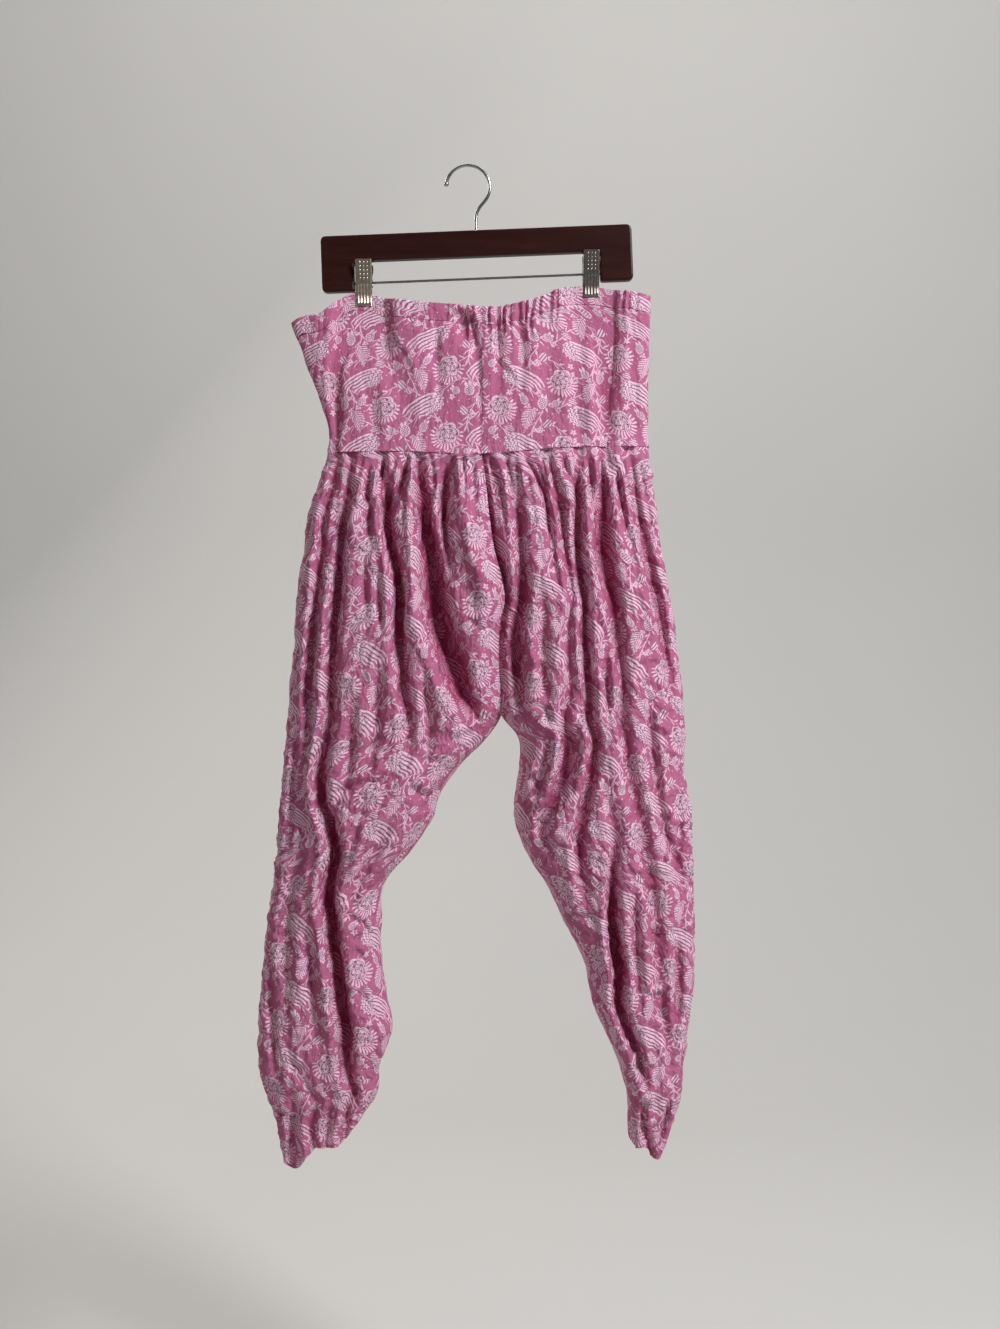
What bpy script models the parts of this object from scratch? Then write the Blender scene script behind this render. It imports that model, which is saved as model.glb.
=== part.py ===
"""Harem pants held by a wooden clip hanger, as one rigid body.

Metres, +Z up. The origin is the inside top of the hanger's hook, where it hangs. +X is the
viewer's right and +Y runs away from the viewer. Tables are in millimetres, and a drop is the
distance below the origin. The garment is two halves, each worked out as horizontal sections
that run from the centre front round the side to the centre back.
"""

import math

import bmesh
import bpy
import numpy as np

MM = 0.001
GAP = 0.3  # between sewn pieces, and between the jaws and the cloth

# ---- Garment, driving sizes in millimetres ----
CLOTH_WALL = 1.2
CASING_WALL = 2.1
CASING_HEIGHT = 20.0
SEAM_DROP = 330.0  # yoke to leg
CROTCH_DROP = 627.0
HEM_DROP = 1112.0
SIDE_ROUNDING = 4.0  # higher is a squarer side
INSEAM_SHARE = 0.3  # share of a leg's width that turns in towards the inseam
SEAM_BLEND = 130.0  # how far below the yoke the rows level out
HEM_BLEND = 170.0  # how far above the hem the rows start to slant
LEAST_HALF_DEPTH = CASING_WALL + 0.35
THIN_EDGE = 0.3  # share of the full depth below which that least depth runs out
CLOSING_POWER = 2.2  # how late the legs part, from the yoke down to the crotch
FOLD_FADE = 14.0  # folds die out over 1 / 14 of the width at the side and the inseam
FOLD_SPACING = 0.02  # least share of the width between folds
LAST_FOLD = 0.98  # furthest share of the width that a fold reaches
EVEN_COLUMNS = 0.4  # share of even spacing between folds, the rest crowds near them

# ---- Garment sections: what a half measures at each drop ----
# drop, x of the side, x of the centre seam or inseam
LEFT_OUTLINE = (
    (138, -204, 16), (180, -202, 16), (205, -192, 16), (233, -183, 16), (261, -171, 16),
    (284, -163, 16), (309, -159, 16), (331, -161, 16), (358, -169, 20), (404, -185, 25),
    (438, -188, 30), (473, -193, 39), (496, -196, 42), (520, -198, 37), (564, -200, 35),
    (599, -204, 37), (627, -206, 38), (650, -208, 24), (684, -211, -9), (713, -213, -30),
    (741, -216, -39), (782, -218, -66), (816, -222, -94), (862, -229, -99), (907, -233, -98),
    (953, -237, -92), (987, -240, -87), (1022, -239, -100), (1062, -229, -106),
    (1085, -221, -120), (1119, -214, -122), (1142, -209, -124),
)
RIGHT_OUTLINE = (
    (138, 209, 16), (180, 208, 16), (205, 207, 16), (233, 207, 16), (261, 206, 16),
    (284, 206, 16), (309, 206, 16), (331, 207, 16), (358, 211, 20), (404, 217, 25),
    (438, 221, 30), (473, 227, 39), (496, 232, 42), (520, 236, 37), (564, 240, 35),
    (599, 245, 37), (627, 247, 38), (650, 247, 56), (684, 247, 58), (713, 251, 54),
    (741, 255, 53), (782, 256, 66), (816, 257, 87), (862, 258, 110), (907, 258, 132),
    (953, 256, 142), (987, 250, 156), (1022, 245, 171), (1062, 242, 182),
    (1085, 236, 183), (1119, 224, 184), (1142, 218, 186),
)
# drop, half depth to the front, half depth to the back
LEFT_DEPTH = (
    (138, 13, 10), (200, 16, 13), (270, 19, 15), (331, 22, 16), (380, 34, 22),
    (450, 46, 27), (540, 54, 30), (627, 56, 32), (700, 54, 33), (780, 50, 32),
    (870, 45, 30), (960, 44, 29), (1040, 38, 26), (1090, 28, 20), (1142, 22, 16),
)
RIGHT_DEPTH = (
    (138, 13, 10), (200, 16, 13), (270, 19, 15), (331, 22, 16), (380, 34, 22),
    (450, 46, 27), (540, 54, 30), (627, 56, 32), (700, 54, 33), (780, 52, 32),
    (870, 49, 31), (960, 47, 31), (1040, 42, 29), (1090, 34, 26), (1142, 28, 22),
)
# x, drop of the waist's top edge
WAIST_EDGE = (
    (-206, 181), (-202, 179), (-190, 173), (-169, 170), (-146, 153), (-135, 146), (-116, 145),
    (-97, 151), (-66, 156), (-9, 161), (16, 163), (37, 163), (59, 158), (82, 152), (105, 142),
    (122, 138), (141, 138), (168, 142), (197, 146), (209, 148),
)
# x, drop of the seam between yoke and legs
YOKE_SEAM = ((-165, 328), (-75, 328), (12, 331), (37, 330), (88, 325), (150, 322), (210, 321))
# x, drop of each ankle's edge
LEFT_HEM = (
    (-216, 1122), (-210, 1134), (-200, 1141), (-190, 1137), (-180, 1123), (-152, 1113),
    (-140, 1108), (-128, 1092), (-120, 1084),
)
RIGHT_HEM = (
    (182, 1104), (188, 1111), (200, 1113), (206, 1124), (214, 1129), (222, 1127), (230, 1110),
)

# ---- Folds: a row for each, with the points (drop, x, depth, half width) that it passes ----
# A negative depth stands proud. They are listed from the centre seam to the side.
SEAM_GROOVE = (
    (138, 0.5), (331, 3), (381, 9), (461, 12), (498, 14), (560, 17), (600, 12), (627, 0),
)
SEAM_GROOVE_WIDTH = 9.0
YOKE_LEFT_FRONT = (
    ("soft_trough", ((150, -103, 2, 13), (210, -88, 5, 14), (267, -75, 3, 15), (318, -70, 0, 15))),
    ("side_fold", ((150, -138, 3, 8), (200, -143, 8, 8), (260, -150, 8, 7), (318, -152, 4, 6))),
)
YOKE_RIGHT_FRONT = (
    ("soft_trough", ((150, 100, 0, 14), (210, 96, 4, 14), (267, 92, 3, 15), (318, 90, 0, 15))),
    ("side_fold", ((150, 160, 4, 11), (200, 162, 8, 12), (260, 163, 9, 12), (318, 163, 5, 11))),
)
YOKE_LEFT_BACK = (
    ("inner_fold", ((150, -60, 0, 14), (220, -52, 4, 14), (318, -48, 2, 14))),
    ("side_fold", ((150, -140, 3, 10), (210, -142, 6, 10), (318, -138, 3, 10))),
)
YOKE_RIGHT_BACK = (
    ("inner_fold", ((150, 92, 0, 14), (220, 84, 4, 14), (318, 78, 2, 14))),
    ("side_fold", ((150, 166, 3, 10), (210, 170, 6, 10), (318, 172, 3, 10))),
)
LEG_LEFT_FRONT = (
    ("tongue", (
        (335, -4, -2, 12), (404, 0, -8, 13), (473, 15, -10, 13), (505, 22, -5, 12),
        (560, 18, 0, 12), (627, 28, 0, 12), (862, -106, 0, 12), (1062, -110, 0, 8),
    )),
    ("centre_pleat", (
        (335, -54, 4, 8), (380, -50, 18, 8), (438, -43, 24, 9), (496, -35, 28, 11),
        (553, -21, 28, 13), (599, -7, 22, 13), (640, 4, 6, 12), (684, -32, 0, 10),
        (862, -116, 0, 10), (1062, -114, 0, 8),
    )),
    ("middle_pleat", (
        (335, -97, 4, 8), (375, -92, 16, 8), (440, -84, 18, 8), (564, -73, 16, 9),
        (644, -65, 8, 9), (684, -68, 0, 9), (782, -105, 6, 9), (862, -126, 2, 9),
        (1062, -118, 0, 8),
    )),
    ("long_pleat", (
        (335, -132, 4, 7), (375, -135, 12, 7), (473, -145, 17, 8), (599, -152, 13, 9),
        (701, -164, 16, 9), (804, -152, 22, 10), (907, -146, 22, 10), (999, -136, 20, 10),
        (1050, -128, 10, 8), (1085, -140, 3, 7),
    )),
    ("side_pleat", (
        (335, -150, 3, 6), (375, -156, 8, 6), (473, -168, 11, 7), (610, -179, 10, 7),
        (690, -184, 4, 7), (793, -192, 5, 10), (907, -203, 6, 10), (1000, -200, 2, 10),
        (1062, -170, 5, 8), (1100, -176, 8, 7),
    )),
)
LEG_RIGHT_FRONT = (
    ("inner_pleat", (
        (335, 46, 3, 7), (381, 55, 9, 8), (438, 60, 12, 8), (500, 60, 16, 10),
        (560, 56, 18, 12), (605, 58, 10, 10), (640, 72, 0, 8), (690, 74, 0, 8),
        (741, 66, 0, 8), (862, 120, 0, 8), (1062, 190, 0, 6),
    )),
    ("pouch_fold", (
        (335, 90, 4, 7), (381, 104, 10, 7), (450, 112, 11, 7), (540, 112, 6, 7),
        (610, 112, 9, 8), (660, 112, 15, 9), (695, 107, 16, 9), (722, 96, 13, 9),
        (750, 84, 9, 9), (800, 104, 0, 9), (862, 130, 0, 8), (1062, 196, 0, 6),
    )),
    ("middle_pleat", (
        (335, 126, 4, 7), (375, 125, 12, 7), (473, 128, 15, 7), (610, 136, 15, 8),
        (724, 131, 13, 9), (775, 126, 12, 9), (840, 134, 3, 9), (1062, 202, 0, 6),
    )),
    ("low_slit", (
        (335, 140, 0, 7), (473, 143, 0, 7), (700, 154, 2, 7), (759, 165, 8, 8),
        (839, 162, 18, 8), (884, 166, 24, 9), (930, 169, 21, 9), (976, 171, 16, 8),
        (1022, 177, 10, 7), (1050, 207, 0, 6),
    )),
    ("long_pleat", (
        (335, 154, 5, 8), (375, 154, 14, 9), (473, 159, 18, 11), (541, 168, 14, 10),
        (587, 174, 11, 8), (656, 177, 9, 9), (747, 194, 8, 10), (839, 208, 8, 10),
        (924, 214, 7, 9), (1022, 212, 3, 8), (1085, 212, 5, 7),
    )),
    ("side_pleat", (
        (335, 182, 4, 7), (375, 188, 9, 8), (438, 202, 13, 9), (507, 216, 13, 9),
        (587, 230, 8, 8), (656, 234, 2, 8), (760, 238, 6, 8), (839, 240, 4, 8),
        (1022, 230, 3, 8), (1085, 224, 4, 7),
    )),
)
LEG_LEFT_BACK = (
    ("back_inner", (
        (335, -10, 3, 9), (400, -8, 12, 9), (500, -2, 14, 10), (610, 2, 6, 10),
        (862, -116, 0, 10), (1062, -124, 0, 8),
    )),
    ("back_middle", (
        (335, -62, 3, 9), (400, -60, 13, 9), (520, -56, 15, 10), (650, -62, 10, 10),
        (760, -100, 10, 10), (870, -140, 8, 9), (1062, -146, 2, 8),
    )),
    ("back_long", (
        (335, -112, 3, 9), (400, -118, 12, 9), (540, -130, 14, 10), (700, -142, 14, 10),
        (860, -172, 13, 10), (1000, -178, 10, 9), (1085, -170, 4, 8),
    )),
    ("back_side", (
        (335, -144, 2, 7), (420, -160, 8, 8), (560, -172, 9, 9), (700, -184, 7, 9),
        (860, -204, 5, 9), (1085, -196, 2, 8),
    )),
)
LEG_RIGHT_BACK = (
    ("back_inner", (
        (335, 52, 3, 9), (400, 62, 11, 9), (500, 74, 14, 10), (620, 84, 9, 10),
        (760, 96, 6, 9), (862, 132, 0, 9), (1062, 194, 0, 6),
    )),
    ("back_middle", (
        (335, 98, 3, 9), (400, 106, 13, 9), (540, 118, 15, 10), (700, 130, 12, 10),
        (820, 144, 12, 10), (940, 162, 8, 9), (1062, 202, 0, 6),
    )),
    ("back_long", (
        (335, 146, 3, 9), (400, 152, 12, 9), (560, 166, 14, 10), (720, 182, 13, 10),
        (880, 196, 14, 10), (1000, 208, 9, 9), (1085, 212, 3, 7),
    )),
    ("back_side", (
        (335, 182, 2, 7), (420, 194, 8, 8), (580, 214, 9, 9), (740, 224, 7, 9),
        (900, 230, 5, 9), (1085, 224, 2, 7),
    )),
)

# ---- Waist gathers, alike on both faces ----
RUFFLE_HELD = 18.0  # how far below the edge the ruffles keep their height
RUFFLE_END = 75.0
# x, height of the ruffles there
GATHER_HEIGHT = ((-204, 1.2), (-150, 1.6), (-60, 1.6), (10, 2.2), (60, 2.8), (110, 2.0), (209, 1.4))
GATHER_SPACING = 27.0
GATHER_DRIFT, GATHER_DRIFT_LENGTH = 5.0, 31.0  # how the spacing wanders, and over what length
CASING_ROWS = (0.0, 0.55, 1.0)

# ---- How finely the cloth is divided ----
FRONT_STEPS = 4  # between one fold and the next
BACK_STEPS = 3
WAIST_FRONT_STEPS = 8
WAIST_BACK_STEPS = 6
YOKE_ROWS = 5
LEG_ROWS = (
    330, 352, 380, 415, 455, 500, 545, 590, 627, 655, 690, 728, 768, 815, 865, 915, 965, 1010,
    1050, 1082, 1112,
)

# ---- Hanger, driving sizes in millimetres ----
HANGER_TILT = math.radians(2.3)  # its right end is the higher one
HANGER_CENTRE = (10.0, 105.5)  # x, drop of the middle of the wood
WOOD_LENGTH = 355.6
WOOD_HEIGHT = 64.0
WOOD_THICKNESS = 12.0
WOOD_LEG = 37.6  # width of the two ends that carry the bar
WOOD_TOP_BAR = 30.0
WOOD_CORNER = 6.0
WOOD_EDGE = 2.2
BAR_RADIUS = 1.4
BAR_ABOVE_FOOT = 9.5
BAR_IN_WOOD = 9.0
BORE_CLEARANCE = 0.3
HOOK_WIRE = 1.8
HOOK_ARC_RADIUS = 25.0
HOOK_ARC_FROM, HOOK_ARC_TO = 172.0, -38.0  # degrees, anticlockwise from +X
HOOK_STEM_X = 9.0
HOOK_STEM = ((13.2, 46.5), (10.2, 52.5), (9.0, 60.0))  # x, drop where the arc runs into the stem
HOOK_IN_WOOD = 12.0
HOOK_BALL = 2.9
JAW_WIDTH = 18.6
JAW_SHEET = 1.1
# height above the jaw's lower end, distance of its inner face from the cloth's middle, flange depth
JAW_PROFILE = (
    (0.0, 0.0, 0.5), (14.0, 0.0, 0.5), (19.0, 2.2, 1.8), (28.0, 4.6, 3.4), (40.0, 7.2, 3.6),
    (51.0, 9.6, 2.4),
)
JAW_BELOW_BAR = 27.0
SPRING_RADIUS, SPRING_BORE, SPRING_LENGTH = 3.3, 1.75, 11.0
CLIPS = (("left", -118.5), ("right", 140.5))  # x of each clip
# across: distance from a clip's middle where the cloth is flat, and where it is free again
HELD_ACROSS = (11.0, 42.0)
# drop down to which the cloth is flat below a clip, and where it is free again
HELD_DOWN = (172.0, 285.0)


def material(name, colour, roughness, metallic=0.0):
    made = bpy.data.materials.new(name)
    made.use_nodes = True
    shader = made.node_tree.nodes["Principled BSDF"]
    shader.inputs["Base Color"].default_value = (*colour, 1.0)
    shader.inputs["Roughness"].default_value = roughness
    shader.inputs["Metallic"].default_value = metallic
    return made


def add_object(name, points, faces, finish, smooth_below=None):
    """A closed mesh object from points in millimetres, with its faces turned outwards."""
    mesh = bpy.data.meshes.new(name)
    mesh.from_pydata([[c * MM for c in point] for point in points], [], faces)
    shaped = bmesh.new()
    shaped.from_mesh(mesh)
    bmesh.ops.recalc_face_normals(shaped, faces=shaped.faces)
    if shaped.calc_volume(signed=True) < 0:
        bmesh.ops.reverse_faces(shaped, faces=shaped.faces)
    shaped.to_mesh(mesh)
    shaped.free()
    mesh.materials.append(finish)
    if smooth_below is not None:
        mesh.shade_smooth()
        mesh.set_sharp_from_angle(angle=math.radians(smooth_below))
    made = bpy.data.objects.new(name, mesh)
    bpy.context.scene.collection.objects.link(made)
    return made


# ---------------------------------------------------------------- cloth

def follow(stations, values, at):
    """A smooth curve through the values at rising stations, held level past both ends."""
    stations = np.asarray(stations, float)
    values = np.asarray(values, float)
    slopes = np.gradient(values, stations)
    low = np.clip(np.searchsorted(stations, at) - 1, 0, len(stations) - 2)
    step = stations[low + 1] - stations[low]
    t = np.clip((at - stations[low]) / step, 0, 1)
    return (
        (1 + 2 * t) * (1 - t) ** 2 * values[low]
        + t * (1 - t) ** 2 * step * slopes[low]
        + t * t * (3 - 2 * t) * values[low + 1]
        + t * t * (t - 1) * step * slopes[low + 1]
    )


def smooth_step(low, high, at):
    t = np.clip((at - low) / (high - low), 0, 1)
    return t * t * (3 - 2 * t)


def column(table, index):
    return [row[index] for row in table]


def held_by_clips(x, drop):
    """1 where a clip's jaws press the cloth flat, falling to 0 away from them."""
    distance = np.min([np.abs(x - clip_x) for _, clip_x in CLIPS], axis=0)
    return (1 - smooth_step(*HELD_ACROSS, distance)) * (1 - smooth_step(*HELD_DOWN, drop))


class Half:
    """One half of the garment, and the shape of its front and its back."""

    def __init__(self, side, outline, depth, front_folds, back_folds, hem):
        self.side = side  # -1 for the half on the viewer's left, 1 for the right one
        self.outline = outline
        self.depth = depth
        self.folds = {"front": front_folds, "back": back_folds}
        self.hem = hem

    def seam_x(self, drop):
        gap = self.side * GAP / 2
        return follow(column(self.outline, 0), column(self.outline, 2), drop) + gap

    def side_x(self, drop):
        return follow(column(self.outline, 0), column(self.outline, 1), drop)

    def fold_lines(self, face, drop):
        """For each line that the columns keep to, its share of the way to the side."""
        lines = [np.zeros_like(drop)]
        for _, points in self.folds[face]:
            shares = []
            for at, x, _, _ in points:
                seam = self.seam_x(np.array(float(at)))
                shares.append(float((x - seam) / (self.side_x(np.array(float(at))) - seam)))
            line = follow(column(points, 0), shares, drop)
            lines.append(np.clip(line, lines[-1] + FOLD_SPACING, LAST_FOLD))
        return [*lines, np.ones_like(drop)]

    def closing(self, drop):
        """0 at the yoke, 1 from the crotch down, where front and back meet at the inseam."""
        return np.clip((drop - SEAM_DROP) / (CROTCH_DROP - SEAM_DROP), 0, 1) ** CLOSING_POWER

    def half_depth(self, face, share, x, drop, lines):
        """Distance of the cloth from the plane of the hanger."""
        full = follow(column(self.depth, 0), column(self.depth, 1 if face == "front" else 2), drop)
        closing = self.closing(drop)
        inwards = np.clip((INSEAM_SHARE - share) / INSEAM_SHARE, 0, 1)
        rounded = np.sqrt(np.clip(1 - share**SIDE_ROUNDING, 0, 1))
        rounded = rounded * np.sqrt(np.clip(1 - closing * inwards**2, 0, 1))
        depth = full * rounded * (1 - held_by_clips(x, drop))
        fade = np.clip((1 - share) * FOLD_FADE, 0, 1)
        fade = fade * (1 - closing * (1 - np.clip(share * FOLD_FADE, 0, 1)))
        depth = depth + ruffles(x, drop) * fade
        seam = self.seam_x(drop)
        groove = follow(column(SEAM_GROOVE, 0), column(SEAM_GROOVE, 1), drop)
        depth = depth - groove * np.exp(-(((x - seam) / SEAM_GROOVE_WIDTH) ** 2)) * fade
        for line, (_, points) in zip(lines[1:-1], self.folds[face]):
            at = seam + line * (self.side_x(drop) - seam)
            deep = follow(column(points, 0), column(points, 2), drop)
            wide = follow(column(points, 0), column(points, 3), drop)
            depth = depth - deep * np.exp(-(((x - at) / wide) ** 2)) * fade
        return np.maximum(depth, LEAST_HALF_DEPTH * np.clip(rounded / THIN_EDGE, 0, 1))

    def face_points(self, face, steps, levels, drops):
        """x, half depth and drop of a grid from the centre seam to the side. drops gives the
        drop of each point from its x, for that number of levels."""
        spans = len(self.folds[face]) + 1
        even = np.arange(steps) / steps
        crowded = (1 - np.cos(math.pi * even)) / 2
        within = EVEN_COLUMNS * even + (1 - EVEN_COLUMNS) * crowded
        span = np.append(np.repeat(np.arange(spans), steps), spans - 1)
        within = np.append(np.tile(within, spans), 1.0)
        x = np.linspace(self.seam_x(np.array(SEAM_DROP)), self.side_x(np.array(SEAM_DROP)), len(span))
        x = np.tile(x, (levels, 1))
        for _ in range(4):
            drop = drops(x)
            lines = self.fold_lines(face, drop)
            stacked = np.array(lines)
            columns = np.arange(len(span))
            before = stacked[span, :, columns].T
            after = stacked[span + 1, :, columns].T
            share = before + (after - before) * within
            seam = self.seam_x(drop)
            x = seam + share * (self.side_x(drop) - seam)
        depth = self.half_depth(face, share, x, drop, lines)
        return x, depth, drop

    def ring(self, front_steps, back_steps, levels, drops):
        """Points [row, column, xyz] from the centre front round the side to the centre back."""
        x, depth, drop = self.face_points("front", front_steps, levels, drops)
        back_x, back_depth, back_drop = self.face_points("back", back_steps, levels, drops)
        front = np.stack([x, -depth, -drop], axis=2)
        back = np.stack([back_x, back_depth, -back_drop], axis=2)
        return np.concatenate([front, back[:, -2::-1]], axis=1)


def casing_drops(x):
    edge = follow(column(WAIST_EDGE, 0), column(WAIST_EDGE, 1), x)
    return edge + np.array(CASING_ROWS)[:, None] * CASING_HEIGHT


def yoke_drops(x):
    share = np.linspace(0, 1, YOKE_ROWS + 1)[:, None]
    top = follow(column(WAIST_EDGE, 0), column(WAIST_EDGE, 1), x) + CASING_HEIGHT + GAP
    bottom = follow(column(YOKE_SEAM, 0), column(YOKE_SEAM, 1), x)
    return top + (bottom - top) * share


def leg_drops(hem):
    level = np.array(LEG_ROWS, float)[:, None]
    near_seam = 1 - smooth_step(SEAM_DROP, SEAM_DROP + SEAM_BLEND, level)
    near_hem = smooth_step(HEM_DROP - HEM_BLEND, HEM_DROP, level)

    def drops(x):
        seam = follow(column(YOKE_SEAM, 0), column(YOKE_SEAM, 1), x) + GAP
        edge = follow(column(hem, 0), column(hem, 1), x)
        return level + (seam - SEAM_DROP) * near_seam + (edge - HEM_DROP) * near_hem

    return drops


def ruffles(x, drop):
    """Small waves of the gathered waist, uneven in spacing, and none under the jaws."""
    below = drop - follow(column(WAIST_EDGE, 0), column(WAIST_EDGE, 1), x)
    height = follow(column(GATHER_HEIGHT, 0), column(GATHER_HEIGHT, 1), x)
    height = height * (1 - smooth_step(RUFFLE_HELD, RUFFLE_END, below))
    drift = GATHER_DRIFT * np.sin(x / GATHER_DRIFT_LENGTH)
    phase = 2 * math.pi * (x + drift) / GATHER_SPACING
    return height * (1 + np.sin(phase)) / 2 * (1 - held_by_clips(x, drop))


def inner_rings(rings, side, wall, ring_from):
    """The wall's inner points: each row's points moved in by the wall, level with the row."""
    inner = rings.copy()
    for row, points in enumerate(rings):
        flat = points[:, :2]
        closed = row >= ring_from
        if closed:
            wrapped = np.concatenate([flat[-2:-1], flat, flat[1:2]])
            along = wrapped[2:] - wrapped[:-2]
        else:
            along = np.gradient(flat, axis=0)
        normal = np.stack([along[:, 1], -along[:, 0]], axis=1) * side
        normal /= np.linalg.norm(normal, axis=1)[:, None]
        if closed:
            normal[0] = normal[-1] = (-side, 0)
        else:
            normal[0], normal[-1] = (0, -1), (0, 1)
        inner[row, :, :2] = flat - wall * normal
    return inner


def wall_object(name, outer, inner, ring_from, finish):
    """A cloth wall between two grids. Rows from ring_from on are closed rings, those above open."""
    rows, columns = outer.shape[:2]
    numbers = np.zeros((2, rows, columns), int)
    points = []
    for layer, grid in enumerate((outer, inner)):
        for row in range(rows):
            for number in range(columns):
                if row >= ring_from and number == columns - 1:
                    numbers[layer, row, number] = numbers[layer, row, 0]
                    continue
                numbers[layer, row, number] = len(points)
                points.append(grid[row, number])
    faces = []
    out, inn = numbers
    for row in range(rows - 1):
        for n in range(columns - 1):
            faces.append((out[row, n], out[row, n + 1], out[row + 1, n + 1], out[row + 1, n]))
            faces.append((inn[row, n], inn[row + 1, n], inn[row + 1, n + 1], inn[row, n + 1]))
        if row < ring_from:
            for n in (0, columns - 1):
                faces.append((out[row, n], inn[row, n], inn[row + 1, n], out[row + 1, n]))
    for row in (0, rows - 1):
        for n in range(columns - 1):
            faces.append((out[row, n], out[row, n + 1], inn[row, n + 1], inn[row, n]))
    faces = [[int(number) for number in face] for face in faces]
    return add_object(name, points, faces, finish, smooth_below=60)


def build_garment(cloth, casing_cloth):
    never = 10**6
    yokes = (
        Half(-1, LEFT_OUTLINE, LEFT_DEPTH, YOKE_LEFT_FRONT, YOKE_LEFT_BACK, LEFT_HEM),
        Half(1, RIGHT_OUTLINE, RIGHT_DEPTH, YOKE_RIGHT_FRONT, YOKE_RIGHT_BACK, RIGHT_HEM),
    )
    legs = (
        Half(-1, LEFT_OUTLINE, LEFT_DEPTH, LEG_LEFT_FRONT, LEG_LEFT_BACK, LEFT_HEM),
        Half(1, RIGHT_OUTLINE, RIGHT_DEPTH, LEG_RIGHT_FRONT, LEG_RIGHT_BACK, RIGHT_HEM),
    )
    names = ("left", "right")

    around = [
        half.ring(WAIST_FRONT_STEPS, WAIST_BACK_STEPS, len(CASING_ROWS), casing_drops)
        for half in yokes
    ]
    inside = [
        inner_rings(ring, half.side, CASING_WALL, never) for ring, half in zip(around, yokes)
    ]
    outer = np.concatenate([around[0], around[1][:, ::-1], around[0][:, :1]], axis=1)
    inner = np.concatenate([inside[0], inside[1][:, ::-1], inside[0][:, :1]], axis=1)
    wall_object("waist_casing", outer, inner, 0, casing_cloth)

    for name, half in zip(names, yokes):
        outer = half.ring(WAIST_FRONT_STEPS, WAIST_BACK_STEPS, YOKE_ROWS + 1, yoke_drops)
        inner = inner_rings(outer, half.side, CLOTH_WALL, never)
        wall_object(f"yoke_{name}", outer, inner, never, cloth)

    crotch_row = LEG_ROWS.index(CROTCH_DROP)
    for name, half in zip(names, legs):
        outer = half.ring(FRONT_STEPS, BACK_STEPS, len(LEG_ROWS), leg_drops(half.hem))
        inner = inner_rings(outer, half.side, CLOTH_WALL, crotch_row)
        wall_object(f"leg_{name}", outer, inner, crotch_row, cloth)


# ---------------------------------------------------------------- hanger

def swept(name, sections, finish, smooth_below=40):
    """A closed solid through sections with the same number of points, with flat ends."""
    count = len(sections[0])
    points = [point for section in sections for point in section]
    faces = [list(range(count)), list(range(len(points) - count, len(points)))]
    for row in range(len(sections) - 1):
        for n in range(count):
            after = (n + 1) % count
            low, high = row * count, (row + 1) * count
            faces.append([low + n, low + after, high + after, high + n])
    return add_object(name, points, faces, finish, smooth_below)


def tube(name, path, radii, finish, sides=12):
    """A round wire along a path that lies in the plane of the hanger."""
    path = np.asarray(path, float)
    along = np.gradient(path, axis=0)
    along /= np.linalg.norm(along, axis=1)[:, None]
    sections = []
    for point, direction, radius in zip(path, along, radii):
        across = np.cross(direction, (0, 1, 0))
        angles = [2 * math.pi * n / sides for n in range(sides)]
        sections.append([
            point + radius * (math.cos(a) * across + math.sin(a) * np.array((0, 1, 0)))
            for a in angles
        ])
    return swept(name, sections, finish)


def on_hanger(x, y, up):
    """A point given in the level hanger's own x, y and height about its middle, tilted."""
    level, rise = math.cos(HANGER_TILT), math.sin(HANGER_TILT)
    return (
        HANGER_CENTRE[0] + x * level - up * rise,
        y,
        -HANGER_CENTRE[1] + x * rise + up * level,
    )


def corner(x, up, turn_from, radius, steps=4):
    """A rounded corner's points about its centre, a quarter turn from turn_from degrees."""
    found = []
    for n in range(steps + 1):
        angle = math.radians(turn_from + 90 * n / steps)
        found.append((x + radius * math.cos(angle), up + radius * math.sin(angle)))
    return found


def wood_outline():
    """The frame seen from the front, anticlockwise from its lower right corner."""
    half, high, r = WOOD_LENGTH / 2, WOOD_HEIGHT / 2, WOOD_CORNER
    gap, under = half - WOOD_LEG, high - WOOD_TOP_BAR
    outline = corner(half - r, -high + r, -90, r)
    outline += corner(half - r, high - r, 0, r)
    outline += corner(-half + r, high - r, 90, r)
    outline += corner(-half + r, -high + r, 180, r)
    outline += [(-gap, -high)]
    outline += corner(-gap + r, under - r, 90, r)[::-1]
    outline += corner(gap - r, under - r, 0, r)[::-1]
    outline += [(gap, -high)]
    return outline


def cut(target, cutter):
    cutter.hide_render = True
    cutter.display_type = "WIRE"
    boolean = target.modifiers.new("cut_" + cutter.name, "BOOLEAN")
    boolean.operation = "DIFFERENCE"
    boolean.object = cutter


def build_wood(finish):
    outline = wood_outline()
    sections = [
        [on_hanger(x, y, up) for x, up in outline]
        for y in (-WOOD_THICKNESS / 2, WOOD_THICKNESS / 2)
    ]
    wood = swept("hanger_wood", sections, finish)
    rounding = wood.modifiers.new("rounding", "BEVEL")
    rounding.width = WOOD_EDGE * MM
    rounding.segments = 2
    rounding.limit_method = "ANGLE"
    rounding.angle_limit = math.radians(60)
    return wood


def build_bar(wood, finish):
    gap = WOOD_LENGTH / 2 - WOOD_LEG
    up = BAR_ABOVE_FOOT - WOOD_HEIGHT / 2
    ends = (-gap - BAR_IN_WOOD, gap + BAR_IN_WOOD)
    path = [on_hanger(x, 0, up) for x in ends]
    tube("hanger_bar", path, [BAR_RADIUS] * 2, finish)
    for name, low, high in (("left", ends[0] - 1, 0), ("right", 0, ends[1] + 1)):
        path = [on_hanger(low, 0, up), on_hanger(high, 0, up)]
        cut(wood, tube(f"bar_bore_{name}", path, [BAR_RADIUS + BORE_CLEARANCE] * 2, finish))


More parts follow.
